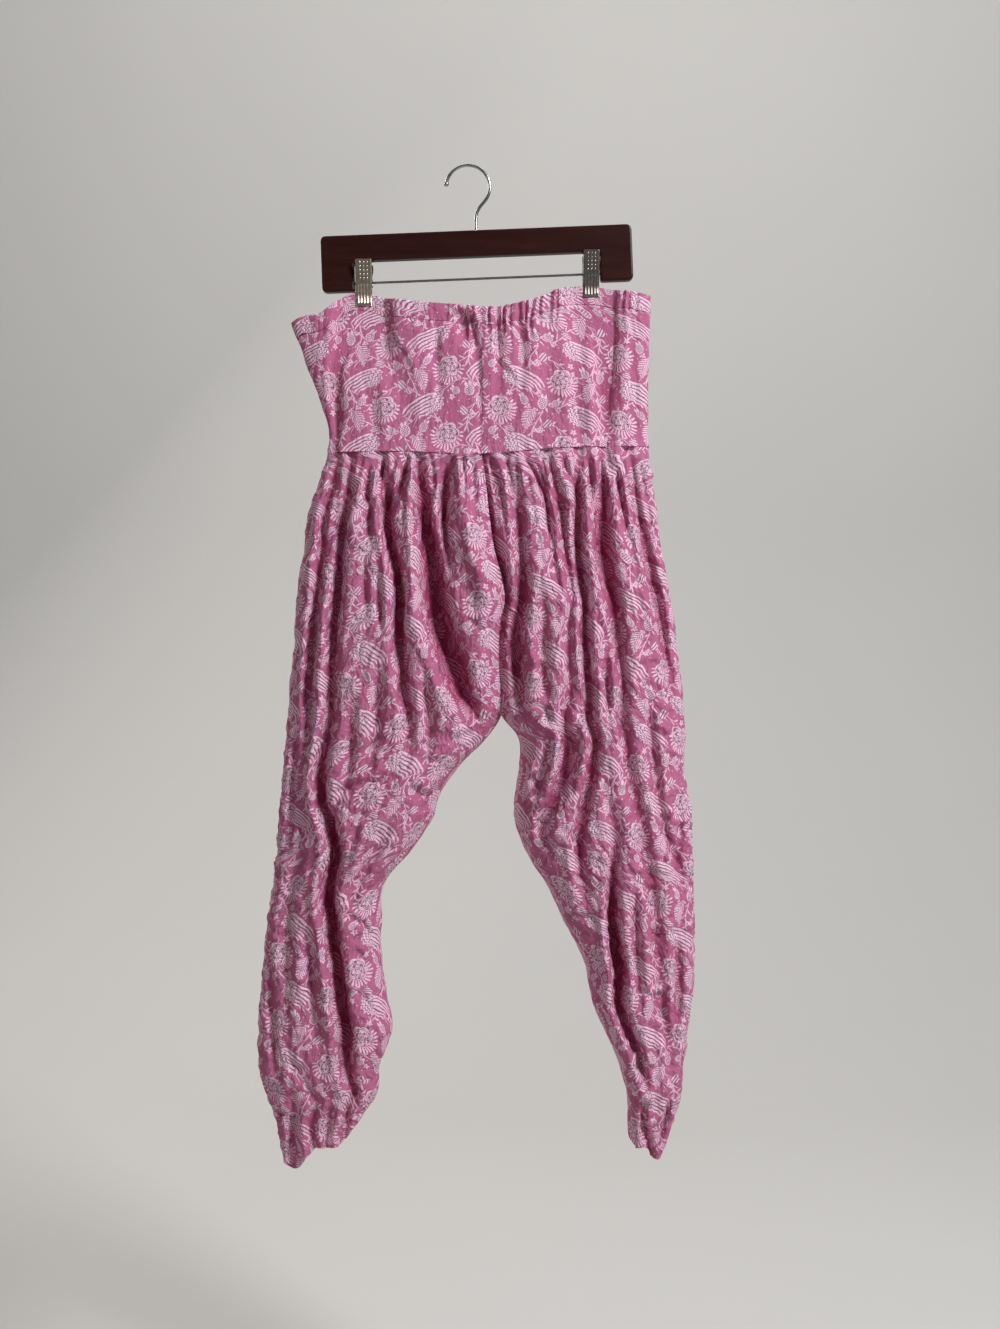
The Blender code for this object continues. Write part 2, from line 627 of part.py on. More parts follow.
def build_hook(wood, finish):
    centre_drop = HOOK_ARC_RADIUS - HOOK_WIRE
    path = []
    for degrees in np.linspace(HOOK_ARC_FROM, HOOK_ARC_TO, 22):
        angle = math.radians(degrees)
        path.append((HOOK_ARC_RADIUS * math.cos(angle), HOOK_ARC_RADIUS * math.sin(angle) - centre_drop))
    path += [(x, -drop) for x, drop in HOOK_STEM]
    wood_top = on_hanger(HOOK_STEM_X - HANGER_CENTRE[0], 0, WOOD_HEIGHT / 2)[2]
    path.append((HOOK_STEM_X, wood_top - HOOK_IN_WOOD))
    points = [(x, 0, z) for x, z in path]
    tip = np.array(points[0])
    outwards = tip - np.array(points[1])
    outwards /= np.linalg.norm(outwards)
    ball, radii = [], []
    for degrees in (10, 40, 70, 100, 130):
        angle = math.radians(degrees)
        ball.append(tip + outwards * HOOK_BALL * math.cos(angle))
        radii.append(HOOK_BALL * math.sin(angle))
    tube("hanger_hook", [*ball, *points[1:]], [*radii, *[HOOK_WIRE] * (len(points) - 1)], finish)
    bore = [(HOOK_STEM_X, 0, wood_top + 6), (HOOK_STEM_X, 0, wood_top - HOOK_IN_WOOD - 1)]
    cut(wood, tube("hook_bore", bore, [HOOK_WIRE + BORE_CLEARANCE] * 2, finish))


def build_jaw(name, clip_x, bar, face, finish):
    """One jaw of pressed sheet, flat on the cloth below the bar, a flanged lever above it."""
    cloth_face = LEAST_HALF_DEPTH + GAP
    lower = bar[2] - JAW_BELOW_BAR
    half = JAW_WIDTH / 2
    sections = []
    for up, out, flange in JAW_PROFILE:
        inner = cloth_face + out
        outer = inner + JAW_SHEET
        lip = inner - flange * (up > JAW_PROFILE[1][0])
        section = [
            (-half, outer), (-half, lip), (-half + JAW_SHEET, lip), (-half + JAW_SHEET, inner),
            (half - JAW_SHEET, inner), (half - JAW_SHEET, lip), (half, lip), (half, outer),
        ]
        if lip == inner:
            section = [
                (-half, outer), (-half, inner), (-half + JAW_SHEET, inner),
                (-half + 2 * JAW_SHEET, inner), (half - 2 * JAW_SHEET, inner),
                (half - JAW_SHEET, inner), (half, inner), (half, outer),
            ]
        sections.append([(clip_x + x, face * y, lower + up) for x, y in section])
    return swept(name, sections, finish, smooth_below=30)


def build_spring(name, clip_x, bar, finish):
    """The clip's spring round the bar, as a short sleeve of the coil's size."""
    sides = 16
    outside, inside = [], []
    for end in (-1, 1):
        for radius, found in ((SPRING_RADIUS, outside), (SPRING_BORE, inside)):
            for n in range(sides):
                angle = 2 * math.pi * n / sides
                along = end * SPRING_LENGTH / 2
                found.append((
                    bar[0] + along * math.cos(HANGER_TILT),
                    radius * math.cos(angle),
                    bar[2] + radius * math.sin(angle) + along * math.sin(HANGER_TILT),
                ))
    points = [*outside, *inside]
    faces = []
    for n in range(sides):
        after = (n + 1) % sides
        out_low, out_high = n, sides + n
        in_low, in_high = 2 * sides + n, 3 * sides + n
        faces.append([out_low, after, sides + after, out_high])
        faces.append([in_low, in_high, 3 * sides + after, 2 * sides + after])
        faces.append([out_low, in_low, 2 * sides + after, after])
        faces.append([out_high, sides + after, 3 * sides + after, in_high])
    return add_object(name, points, faces, finish, smooth_below=40)


def build_clips(finish):
    up = BAR_ABOVE_FOOT - WOOD_HEIGHT / 2
    for side, clip_x in CLIPS:
        bar = on_hanger((clip_x - HANGER_CENTRE[0]) / math.cos(HANGER_TILT), 0, up)
        build_jaw(f"clip_{side}_front", clip_x, bar, -1, finish)
        build_jaw(f"clip_{side}_back", clip_x, bar, 1, finish)
        build_spring(f"clip_{side}_spring", clip_x, bar, finish)


def main():
    for found in list(bpy.data.objects):
        bpy.data.objects.remove(found)
    cloth = material("printed_cotton", (0.52, 0.10, 0.26), 0.85)
    casing_cloth = material("gathered_cotton", (0.55, 0.13, 0.29), 0.85)
    mahogany = material("mahogany", (0.045, 0.012, 0.010), 0.35)
    chrome = material("chromed_wire", (0.70, 0.70, 0.70), 0.22, 1.0)
    nickel = material("brushed_nickel", (0.62, 0.58, 0.50), 0.35, 1.0)
    build_garment(cloth, casing_cloth)
    wood = build_wood(mahogany)
    build_bar(wood, chrome)
    build_hook(wood, chrome)
    build_clips(nickel)


main()
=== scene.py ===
"""The looks of the harem pants on their clip hanger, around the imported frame.

Lengths in the tables are millimetres, turned to metres when a mesh is made. A drop is the
distance below the frame's origin, the inside top of the hook. +X is the viewer's right and
+Y runs away from the viewer. The cloth is worked out as it is in the frame's solids, much
finer, with the small pleats, creases and crumples that they leave out.
"""

import math
from functools import partialmethod

import bmesh
import bpy
import numpy as np
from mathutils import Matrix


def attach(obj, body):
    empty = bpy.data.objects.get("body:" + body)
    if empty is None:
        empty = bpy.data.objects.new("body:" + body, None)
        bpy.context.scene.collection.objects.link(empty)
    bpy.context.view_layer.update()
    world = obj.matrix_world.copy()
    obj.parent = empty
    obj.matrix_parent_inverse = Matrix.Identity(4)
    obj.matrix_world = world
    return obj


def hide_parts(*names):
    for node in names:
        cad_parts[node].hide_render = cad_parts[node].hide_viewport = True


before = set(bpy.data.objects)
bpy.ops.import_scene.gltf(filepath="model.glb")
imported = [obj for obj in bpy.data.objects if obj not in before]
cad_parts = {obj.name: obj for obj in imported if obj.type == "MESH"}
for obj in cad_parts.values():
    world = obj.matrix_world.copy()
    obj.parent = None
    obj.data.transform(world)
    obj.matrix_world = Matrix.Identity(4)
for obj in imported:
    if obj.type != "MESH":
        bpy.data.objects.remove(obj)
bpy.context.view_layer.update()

MM = 0.001

# ---- The garment's form, as in the frame ----
CASING_HEIGHT = 20.0
SEAM_DROP = 330.0
CROTCH_DROP = 627.0
HEM_DROP = 1112.0
SIDE_ROUNDING = 4.0
INSEAM_SHARE = 0.3
SEAM_BLEND = 130.0
HEM_BLEND = 170.0
LEAST_HALF_DEPTH = 2.45
CLIPS = (("left", -118.5), ("right", 140.5))  # x of each clip

# drop, x of the side, x of the centre seam or inseam
LEFT_OUTLINE = (
    (138, -204, 16), (180, -202, 16), (205, -192, 16), (233, -183, 16), (261, -171, 16),
    (284, -163, 16), (309, -159, 16), (331, -161, 16), (358, -169, 20), (404, -185, 25),
    (438, -188, 30), (473, -193, 39), (496, -196, 42), (520, -198, 37), (564, -200, 35),
    (599, -204, 37), (627, -206, 38), (650, -208, 24), (684, -211, -9), (713, -213, -30),
    (741, -216, -39), (782, -218, -66), (816, -222, -94), (862, -229, -99), (907, -233, -98),
    (953, -237, -92), (987, -240, -87), (1022, -239, -100), (1062, -229, -106),
    (1085, -221, -120), (1119, -214, -122), (1142, -209, -124),
)
RIGHT_OUTLINE = (
    (138, 209, 16), (180, 208, 16), (205, 207, 16), (233, 207, 16), (261, 206, 16),
    (284, 206, 16), (309, 206, 16), (331, 207, 16), (358, 211, 20), (404, 217, 25),
    (438, 221, 30), (473, 227, 39), (496, 232, 42), (520, 236, 37), (564, 240, 35),
    (599, 245, 37), (627, 247, 38), (650, 247, 56), (684, 247, 58), (713, 251, 54),
    (741, 255, 53), (782, 256, 66), (816, 257, 87), (862, 258, 110), (907, 258, 132),
    (953, 256, 142), (987, 250, 156), (1022, 245, 171), (1062, 242, 182),
    (1085, 236, 183), (1119, 224, 184), (1142, 218, 186),
)
# drop, half depth to the front, half depth to the back
LEFT_DEPTH = (
    (138, 13, 10), (200, 16, 13), (270, 19, 15), (331, 22, 16), (380, 34, 22),
    (450, 46, 27), (540, 54, 30), (627, 56, 32), (700, 54, 33), (780, 50, 32),
    (870, 45, 30), (960, 44, 29), (1040, 38, 26), (1090, 28, 20), (1142, 22, 16),
)
RIGHT_DEPTH = (
    (138, 13, 10), (200, 16, 13), (270, 19, 15), (331, 22, 16), (380, 34, 22),
    (450, 46, 27), (540, 54, 30), (627, 56, 32), (700, 54, 33), (780, 52, 32),
    (870, 49, 31), (960, 47, 31), (1040, 42, 29), (1090, 34, 26), (1142, 28, 22),
)
# x, drop of the waist's top edge
WAIST_EDGE = (
    (-206, 181), (-202, 179), (-190, 173), (-169, 170), (-146, 153), (-135, 146), (-116, 145),
    (-97, 151), (-66, 156), (-9, 161), (16, 163), (37, 163), (59, 158), (82, 152), (105, 142),
    (122, 138), (141, 138), (168, 142), (197, 146), (209, 148),
)
# x, drop of the seam between yoke and legs
YOKE_SEAM = ((-165, 328), (-75, 328), (12, 331), (37, 330), (88, 325), (150, 322), (210, 321))
# x, drop of each ankle's edge
LEFT_HEM = (
    (-216, 1122), (-210, 1134), (-200, 1141), (-190, 1137), (-180, 1123), (-152, 1113),
    (-140, 1108), (-128, 1092), (-120, 1084),
)
RIGHT_HEM = (
    (182, 1104), (188, 1111), (200, 1113), (206, 1124), (214, 1129), (222, 1127), (230, 1110),
)
# drop, depth of the groove along the centre seam
SEAM_GROOVE = (
    (138, 0.5), (331, 3), (381, 9), (461, 12), (498, 14), (560, 17), (600, 12), (627, 0),
)
SEAM_GROOVE_WIDTH = 8.0

# ---- Main folds: for each, the points (drop, x, depth, half width) that it passes ----
YOKE_LEFT_FRONT = (
    ((150, -103, 2, 13), (210, -88, 5, 14), (267, -75, 3, 15), (318, -70, 0, 15)),  # soft trough
    ((150, -138, 3, 8), (200, -143, 8, 8), (260, -150, 8, 7), (318, -152, 4, 6)),  # side fold
)
YOKE_RIGHT_FRONT = (
    ((150, 100, 0, 14), (210, 96, 4, 14), (267, 92, 3, 15), (318, 90, 0, 15)),  # soft trough
    ((150, 156, 4, 11), (200, 157, 9, 12), (260, 157, 10, 12), (318, 156, 4, 11)),  # side fold
)
YOKE_LEFT_BACK = (
    ((150, -60, 0, 14), (220, -52, 4, 14), (318, -48, 2, 14)),  # inner fold
    ((150, -140, 3, 10), (210, -142, 6, 10), (318, -138, 3, 10)),  # side fold
)
YOKE_RIGHT_BACK = (
    ((150, 92, 0, 14), (220, 84, 4, 14), (318, 78, 2, 14)),  # inner fold
    ((150, 166, 3, 10), (210, 170, 6, 10), (318, 172, 3, 10)),  # side fold
)
LEG_LEFT_FRONT = (
    (  # tongue
        (335, -4, -2, 12), (404, 0, -8, 13), (473, 15, -10, 13), (505, 22, -5, 12),
        (560, 18, 0, 12), (627, 28, 0, 12), (862, -106, 0, 12), (1062, -110, 0, 8),
    ),
    (  # centre pleat
        (335, -54, 4, 8), (380, -50, 18, 10), (438, -43, 24, 13), (496, -35, 28, 16),
        (553, -21, 28, 18), (599, -7, 22, 16), (640, 4, 6, 12), (684, -32, 0, 10),
        (862, -116, 0, 10), (1062, -114, 0, 8),
    ),
    (  # middle pleat
        (335, -97, 4, 8), (375, -92, 16, 8), (440, -84, 18, 8), (564, -73, 16, 9),
        (644, -65, 8, 9), (684, -68, 0, 9), (782, -105, 6, 9), (862, -126, 2, 9),
        (1062, -118, 0, 8),
    ),
    (  # long pleat
        (335, -132, 4, 7), (375, -135, 12, 7), (473, -145, 17, 8), (599, -152, 13, 9),
        (701, -164, 16, 9), (804, -152, 22, 10), (907, -146, 22, 10), (999, -136, 20, 10),
        (1050, -128, 10, 8), (1085, -140, 3, 7),
    ),
    (  # side pleat
        (335, -150, 3, 6), (375, -156, 8, 6), (473, -168, 11, 7), (610, -179, 10, 7),
        (690, -184, 4, 7), (793, -192, 5, 10), (907, -203, 6, 10), (1000, -200, 2, 10),
        (1062, -170, 5, 8), (1100, -176, 8, 7),
    ),
)
LEG_RIGHT_FRONT = (
    (  # inner pleat
        (335, 46, 3, 7), (381, 55, 9, 8), (438, 60, 12, 8), (500, 60, 16, 10),
        (560, 56, 18, 12), (605, 58, 10, 10), (640, 72, 0, 8), (690, 74, 0, 8),
        (741, 66, 0, 8), (862, 120, 0, 8), (1062, 190, 0, 6),
    ),
    (  # pouch fold
        (335, 90, 4, 7), (381, 104, 10, 7), (450, 112, 11, 7), (540, 112, 6, 7),
        (610, 112, 9, 8), (660, 112, 15, 9), (695, 107, 16, 9), (722, 96, 13, 9),
        (750, 84, 9, 9), (800, 104, 0, 9), (862, 130, 0, 8), (1062, 196, 0, 6),
    ),
    (  # middle pleat
        (335, 126, 4, 7), (375, 125, 12, 7), (473, 128, 15, 7), (610, 136, 15, 8),
        (724, 131, 13, 9), (775, 126, 12, 9), (840, 134, 3, 9), (1062, 202, 0, 6),
    ),
    (  # low slit
        (335, 140, 0, 7), (473, 143, 0, 7), (700, 154, 2, 7), (759, 165, 8, 8),
        (839, 162, 18, 8), (884, 166, 24, 9), (930, 169, 21, 9), (976, 171, 16, 8),
        (1022, 177, 10, 7), (1050, 207, 0, 6),
    ),
    (  # long pleat
        (335, 154, 5, 8), (375, 154, 14, 9), (473, 159, 18, 11), (541, 168, 14, 10),
        (587, 174, 11, 8), (656, 177, 9, 9), (747, 194, 8, 10), (839, 208, 8, 10),
        (924, 214, 7, 9), (1022, 212, 3, 8), (1085, 212, 5, 7),
    ),
    (  # side pleat
        (335, 182, 4, 7), (375, 188, 9, 8), (438, 202, 13, 9), (507, 216, 13, 9),
        (587, 230, 8, 8), (656, 234, 2, 8), (760, 238, 6, 8), (839, 240, 4, 8),
        (1022, 230, 3, 8), (1085, 224, 4, 7),
    ),
)
LEG_LEFT_BACK = (
    (  # back inner
        (335, -10, 3, 9), (400, -8, 12, 9), (500, -2, 14, 10), (610, 2, 6, 10),
        (862, -116, 0, 10), (1062, -124, 0, 8),
    ),
    (  # back middle
        (335, -62, 3, 9), (400, -60, 13, 9), (520, -56, 15, 10), (650, -62, 10, 10),
        (760, -100, 10, 10), (870, -140, 8, 9), (1062, -146, 2, 8),
    ),
    (  # back long
        (335, -112, 3, 9), (400, -118, 12, 9), (540, -130, 14, 10), (700, -142, 14, 10),
        (860, -172, 13, 10), (1000, -178, 10, 9), (1085, -170, 4, 8),
    ),
    (  # back side
        (335, -144, 2, 7), (420, -160, 8, 8), (560, -172, 9, 9), (700, -184, 7, 9),
        (860, -204, 5, 9), (1085, -196, 2, 8),
    ),
)
LEG_RIGHT_BACK = (
    (  # back inner
        (335, 52, 3, 9), (400, 62, 11, 9), (500, 74, 14, 10), (620, 84, 9, 10),
        (760, 96, 6, 9), (862, 132, 0, 9), (1062, 194, 0, 6),
    ),
    (  # back middle
        (335, 98, 3, 9), (400, 106, 13, 9), (540, 118, 15, 10), (700, 130, 12, 10),
        (820, 144, 12, 10), (940, 162, 8, 9), (1062, 202, 0, 6),
    ),
    (  # back long
        (335, 146, 3, 9), (400, 152, 12, 9), (560, 166, 14, 10), (720, 182, 13, 10),
        (880, 196, 14, 10), (1000, 208, 9, 9), (1085, 212, 3, 7),
    ),
    (  # back side
        (335, 182, 2, 7), (420, 194, 8, 8), (580, 214, 9, 9), (740, 224, 7, 9),
        (900, 230, 5, 9), (1085, 224, 2, 7),
    ),
)

# ---- Small folds that the frame leaves out: points (drop, x, depth, half width) ----
SMALL_LEFT_FRONT = (
    ((331, -24, 0, 5), (350, -24, 7, 5), (404, -26, 11, 6), (440, -22, 8, 5), (480, -16, 0, 5)),
    ((333, -70, 0, 5), (352, -72, 7, 5), (385, -82, 5, 6), (400, -86, 0, 6)),
    ((336, -112, 0, 4), (360, -112, 4, 4), (400, -111, 5, 5), (440, -113, 0, 4)),
    ((440, -116, 0, 4), (470, -115, 4, 4), (496, -114, 3, 4), (520, -113, 0, 4)),
    ((460, -99, 0, 4), (490, -98, 4, 4), (519, -96, 3, 4), (540, -95, 0, 4)),
    ((345, -143, 0, 4), (380, -147, 5, 4), (440, -155, 5, 5), (540, -160, 0, 5)),
    ((336, -36, 0, 4), (352, -37, 5, 4), (380, -36, 3, 4), (400, -35, 0, 4)),
    ((334, 2, 0, 5), (356, 4, 4, 5), (400, 8, 3, 6), (440, 14, 0, 6)),
    ((560, -98, 0, 6), (610, -99, 5, 7), (660, -104, 4, 7), (690, -112, 0, 7)),
    ((600, -126, 0, 5), (650, -129, 5, 6), (700, -134, 3, 6), (720, -140, 0, 6)),
    ((620, -192, 0, 5), (680, -196, 5, 6), (760, -201, 4, 6), (800, -206, 0, 6)),
    ((560, -48, 0, 6), (610, -44, 5, 7), (650, -42, 5, 7), (690, -50, 0, 8)),
    ((860, -176, 0, 6), (900, -176, 5, 7), (960, -172, 4, 7), (1010, -166, 0, 7)),
    ((880, -222, 0, 5), (930, -222, 4, 6), (1000, -218, 4, 6), (1050, -210, 0, 6)),
    ((1040, -196, 0, 5), (1080, -196, 5, 6), (1120, -199, 5, 6), (1145, -201, 2, 6)),
    ((1050, -150, 0, 5), (1085, -156, 5, 6), (1110, -160, 4, 6), (1130, -162, 1, 6)),
    ((1040, -142, 0, 5), (1080, -137, 4, 5), (1110, -140, 3, 5)),
)
SMALL_RIGHT_FRONT = (
    ((331, 64, 0, 4), (350, 74, 6, 4), (381, 88, 7, 4), (416, 93, 6, 5), (450, 97, 3, 5), (496, 104, 0, 5)),
    ((333, 108, 0, 4), (350, 114, 5, 4), (372, 120, 4, 4), (392, 124, 0, 4)),
    ((332, 72, 0, 4), (350, 82, 4, 4), (380, 96, 4, 4), (400, 103, 0, 4)),
    ((334, 30, 0, 5), (356, 34, 5, 5), (410, 42, 4, 6), (450, 48, 0, 6)),
    ((336, 138, 0, 4), (360, 139, 5, 4), (420, 144, 5, 5), (520, 151, 0, 5)),
    ((336, 168, 0, 4), (358, 171, 6, 4), (400, 177, 6, 5), (450, 186, 3, 5), (490, 192, 0, 5)),
    ((336, 196, 0, 4), (360, 200, 4, 4), (420, 210, 3, 5), (460, 216, 0, 5)),
    ((480, 84, 0, 6), (530, 84, 5, 7), (590, 86, 5, 7), (640, 92, 0, 7)),
    ((500, 140, 0, 4), (541, 153, 4, 5), (600, 156, 5, 5), (660, 160, 0, 5)),
    ((600, 202, 0, 5), (650, 206, 6, 6), (720, 214, 5, 6), (780, 222, 0, 6)),
    ((640, 90, 0, 6), (670, 88, 4, 6), (700, 80, 4, 6), (730, 72, 0, 6)),
    ((720, 222, 0, 5), (750, 223, 5, 5), (782, 231, 5, 5), (810, 243, 0, 5)),
    ((800, 190, 0, 5), (840, 188, 5, 6), (900, 190, 5, 6), (960, 192, 0, 6)),
    ((860, 232, 0, 5), (900, 236, 5, 6), (960, 236, 4, 6), (1010, 232, 0, 6)),
    ((930, 219, 0, 5), (960, 221, 5, 5), (1000, 225, 5, 6), (1040, 224, 0, 6)),
    ((1050, 196, 0, 4), (1079, 197, 5, 4), (1124, 206, 5, 5), (1140, 208, 2, 5)),
    ((1050, 224, 0, 4), (1075, 224, 4, 4), (1095, 220, 4, 4), (1120, 216, 0, 4)),
    ((560, 120, 0, 5), (620, 124, 4, 5), (690, 120, 3, 6), (720, 116, 0, 6)),
)
SMALL_LEFT_BACK = (
    ((333, -30, 0, 5), (356, -31, 7, 5), (410, -30, 6, 6), (470, -28, 0, 6)),
    ((333, -86, 0, 5), (360, -88, 6, 5), (430, -90, 6, 6), (520, -94, 0, 6)),
    ((333, -128, 0, 4), (360, -134, 5, 4), (420, -140, 4, 5), (480, -148, 0, 5)),
    ((520, -92, 0, 6), (600, -96, 6, 7), (690, -106, 4, 7), (730, -112, 0, 7)),
    ((480, -26, 0, 6), (560, -24, 6, 7), (620, -30, 4, 7), (660, -38, 0, 7)),
    ((700, -168, 0, 6), (790, -180, 6, 7), (900, -190, 5, 7), (980, -196, 0, 7)),
    ((840, -122, 0, 6), (900, -124, 6, 7), (980, -122, 5, 7), (1040, -126, 0, 7)),
    ((1000, -206, 0, 6), (1060, -202, 6, 6), (1120, -196, 5, 6)),
    ((1040, -150, 0, 5), (1080, -152, 5, 6), (1115, -154, 3, 6)),
)
SMALL_RIGHT_BACK = (
    ((333, 34, 0, 5), (356, 36, 7, 5), (420, 42, 6, 6), (470, 46, 0, 6)),
    ((333, 74, 0, 5), (360, 80, 6, 5), (420, 86, 6, 6), (490, 94, 0, 6)),
    ((333, 122, 0, 4), (360, 126, 6, 4), (430, 134, 5, 5), (500, 142, 0, 5)),
    ((333, 166, 0, 4), (360, 172, 5, 4), (430, 184, 4, 5), (500, 192, 0, 5)),
    ((500, 92, 0, 6), (580, 100, 6, 7), (680, 108, 5, 7), (740, 114, 0, 7)),
    ((560, 144, 0, 6), (640, 152, 6, 7), (730, 160, 5, 7), (790, 164, 0, 7)),
    ((700, 204, 0, 6), (790, 212, 6, 7), (880, 216, 5, 7), (950, 220, 0, 7)),
    ((880, 176, 0, 6), (940, 186, 6, 6), (1010, 196, 4, 6), (1050, 202, 0, 6)),
    ((1000, 228, 0, 5), (1050, 226, 5, 5), (1100, 218, 4, 5)),
)
SMALL_YOKE_LEFT_FRONT = (
    ((166, -147, 0, 5), (190, -150, 1.8, 5), (225, -154, 2, 6), (280, -156, 1.5, 5), (324, -156, 0, 4)),
    ((166, -5, 0, 7), (176, -5, 5, 8), (190, -4, 4, 8), (214, -2, 0, 6)),
    ((190, 13, 0, 3), (215, 13, 0.8, 3), (300, 14, 0.8, 3), (330, 14, 0.6, 3)),
    ((180, -34, 0, 5), (205, -36, 2.4, 6), (250, -34, 1.5, 6), (290, -30, 0, 6)),
    ((172, 8, 0, 4), (190, 8, 2.5, 4), (230, 9, 1.6, 5), (280, 10, 0, 5)),
    ((250, -112, 0, 7), (285, -108, 2.2, 8), (322, -104, 0.5, 7)),
)
SMALL_YOKE_RIGHT_FRONT = (
    ((190, 13, 0, 3), (215, 13, 0.8, 3), (300, 14, 0.8, 3), (330, 14, 0.6, 3)),
    ((172, 8, 0, 4), (190, 8, 2.5, 4), (230, 9, 1.6, 5), (280, 10, 0, 5)),
    ((172, 36, 0, 5), (192, 35, 2.8, 5), (235, 36, 1.8, 6), (290, 38, 0, 6)),
    ((172, 58, 0, 5), (190, 60, 2.6, 5), (225, 61, 1.6, 6), (270, 62, 0, 6)),
    ((230, 118, 0, 8), (270, 124, 2.4, 8), (322, 128, 1, 7)),
    ((170, 188, 0, 6), (220, 188, 1.2, 7), (290, 190, 1, 7), (325, 190, 0, 6)),
)
SMALL_YOKE_LEFT_BACK = (
    ((176, -12, 0, 5), (196, -12, 3, 5), (250, -10, 1.6, 6), (300, -8, 0, 6)),
    ((190, -96, 0, 7), (230, -94, 3, 8), (300, -92, 1, 8)),
)
SMALL_YOKE_RIGHT_BACK = (
    ((176, 44, 0, 5), (196, 43, 3, 5), (250, 44, 1.6, 6), (300, 46, 0, 6)),
    ((190, 130, 0, 7), (230, 132, 3, 8), (300, 134, 1, 8)),
)

# ---- Creases that cross the folds: depth, half width, how proud the cloth stands on the
# side to the left of its run, and the points (x, drop) that it passes ----
CREASES_YOKE_LEFT_FRONT = (
    (3.5, 3, 2.5, ((-21, 182), (-12, 171), (-2, 169), (6, 178), (8, 198))),
    (1.5, 3, 1, ((-86, 196), (-70, 222), (-58, 250))),
)
CREASES_YOKE_RIGHT_FRONT = (
    (1.5, 3, 1.5, ((22, 212), (40, 232), (62, 256))),
    (1.5, 4, 1, ((70, 300), (96, 284), (120, 286))),
)
CREASES_LEFT_FRONT = (
    (5, 5, 3, ((-150, 793), (-151, 736), (-141, 709), (-123, 702), (-101, 699), (-83, 694))),
    (3.5, 4, 2, ((-112, 724), (-121, 747), (-129, 770), (-133, 804))),
    (4, 4, 3, ((-141, 844), (-118, 858), (-104, 882), (-98, 908))),
    (3, 4, 2, ((-140, 884), (-122, 892), (-110, 910))),
    (3, 4, 2, ((-138, 930), (-120, 936), (-104, 956))),
    (5, 5, 3, ((-66, 700), (-52, 712), (-38, 722))),
    (3, 4, 2, ((-118, 668), (-100, 652), (-84, 650))),
    (3.5, 4, 2, ((-40, 640), (-16, 652), (4, 646), (22, 634))),
    (3, 4, 2, ((-52, 672), (-30, 676), (-8, 664))),
    (2.5, 3, 2, ((14, 470), (26, 486), (40, 492))),
    (2.5, 3, 2, ((6, 448), (18, 456), (32, 454))),
    (3, 4, 2, ((2, 520), (16, 530), (30, 524))),
    (3, 4, 2, ((-206, 1010), (-186, 1022), (-166, 1016))),
    (3.5, 4, 2, ((-228, 1040), (-204, 1052), (-176, 1046))),
    (3, 4, 2, ((-220, 1076), (-196, 1082), (-178, 1072))),
    (3, 4, 2, ((-160, 1046), (-142, 1056), (-122, 1050))),
    (2.5, 4, 2, ((-196, 740), (-184, 756), (-172, 760))),
    (2.5, 4, 2, ((-222, 820), (-206, 834), (-186, 830))),
    (2.5, 4, 2, ((-230, 900), (-214, 914), (-192, 908))),
)
CREASES_RIGHT_FRONT = (
    (4, 4, 3, ((72, 612), (86, 618), (100, 640), (113, 660))),
    (4, 5, 3, ((118, 690), (110, 716), (92, 744), (74, 766))),
    (3.5, 4, 2, ((64, 690), (80, 702), (98, 700))),
    (3, 4, 2, ((60, 720), (74, 732), (90, 730))),
    (4, 4, 2, ((112, 752), (122, 766), (128, 790))),
    (3, 4, 2, ((98, 800), (116, 808), (132, 802))),
    (3, 4, 2, ((116, 846), (132, 852), (150, 844))),
    (3, 4, 2, ((138, 904), (150, 912), (162, 906))),
    (3, 4, 2, ((148, 944), (160, 952), (170, 944))),
    (3, 4, 2, ((222, 740), (234, 752), (250, 752))),
    (3, 4, 2, ((196, 860), (214, 872), (236, 866))),
    (3, 4, 2, ((190, 930), (208, 940), (228, 934))),
    (3, 4, 2, ((180, 1010), (198, 1022), (222, 1016))),
    (3.5, 4, 2, ((184, 1052), (202, 1062), (228, 1054))),
    (2.5, 3, 2, ((186, 1084), (204, 1092), (224, 1082))),
    (2.5, 4, 2, ((64, 560), (76, 574), (92, 570))),
    (2.5, 4, 2, ((206, 640), (222, 650), (240, 640))),
    (2.5, 4, 2, ((206, 566), (222, 574), (236, 566))),
)
CREASES_LEFT_BACK = (
    (4, 5, 3, ((-160, 700), (-130, 690), (-96, 694), (-66, 680))),
    (3.5, 4, 2, ((-60, 640), (-30, 652), (0, 642))),
    (3, 4, 2, ((-200, 780), (-176, 792), (-150, 786))),
    (3.5, 4, 3, ((-136, 850), (-118, 862), (-102, 880))),
    (3, 4, 2, ((-214, 900), (-190, 912), (-164, 904))),
    (3, 4, 2, ((-150, 950), (-128, 960), (-104, 952))),
    (3, 4, 2, ((-226, 1010), (-200, 1022), (-170, 1014))),
    (3, 4, 2, ((-206, 1070), (-180, 1080), (-150, 1072))),
)
CREASES_RIGHT_BACK = (
    (4, 5, 3, ((70, 700), (96, 712), (124, 704))),
    (3.5, 4, 2, ((130, 660), (158, 672), (186, 664))),
    (3, 4, 2, ((110, 790), (134, 802), (158, 796))),
    (3, 4, 2, ((186, 840), (210, 852), (238, 844))),
    (3, 4, 2, ((150, 920), (170, 932), (190, 926))),
    (3, 4, 2, ((196, 980), (214, 990), (238, 982))),
    (3, 4, 2, ((190, 1052), (208, 1062), (228, 1054))),
)

# ---- Waist gathers ----
GATHER_PITCH = 8.5
GATHER_SEEDS = {"front": 11, "back": 61}
GATHER_FADE = (14.0, 70.0)  # below the edge, where the gathers start to fade and where they end
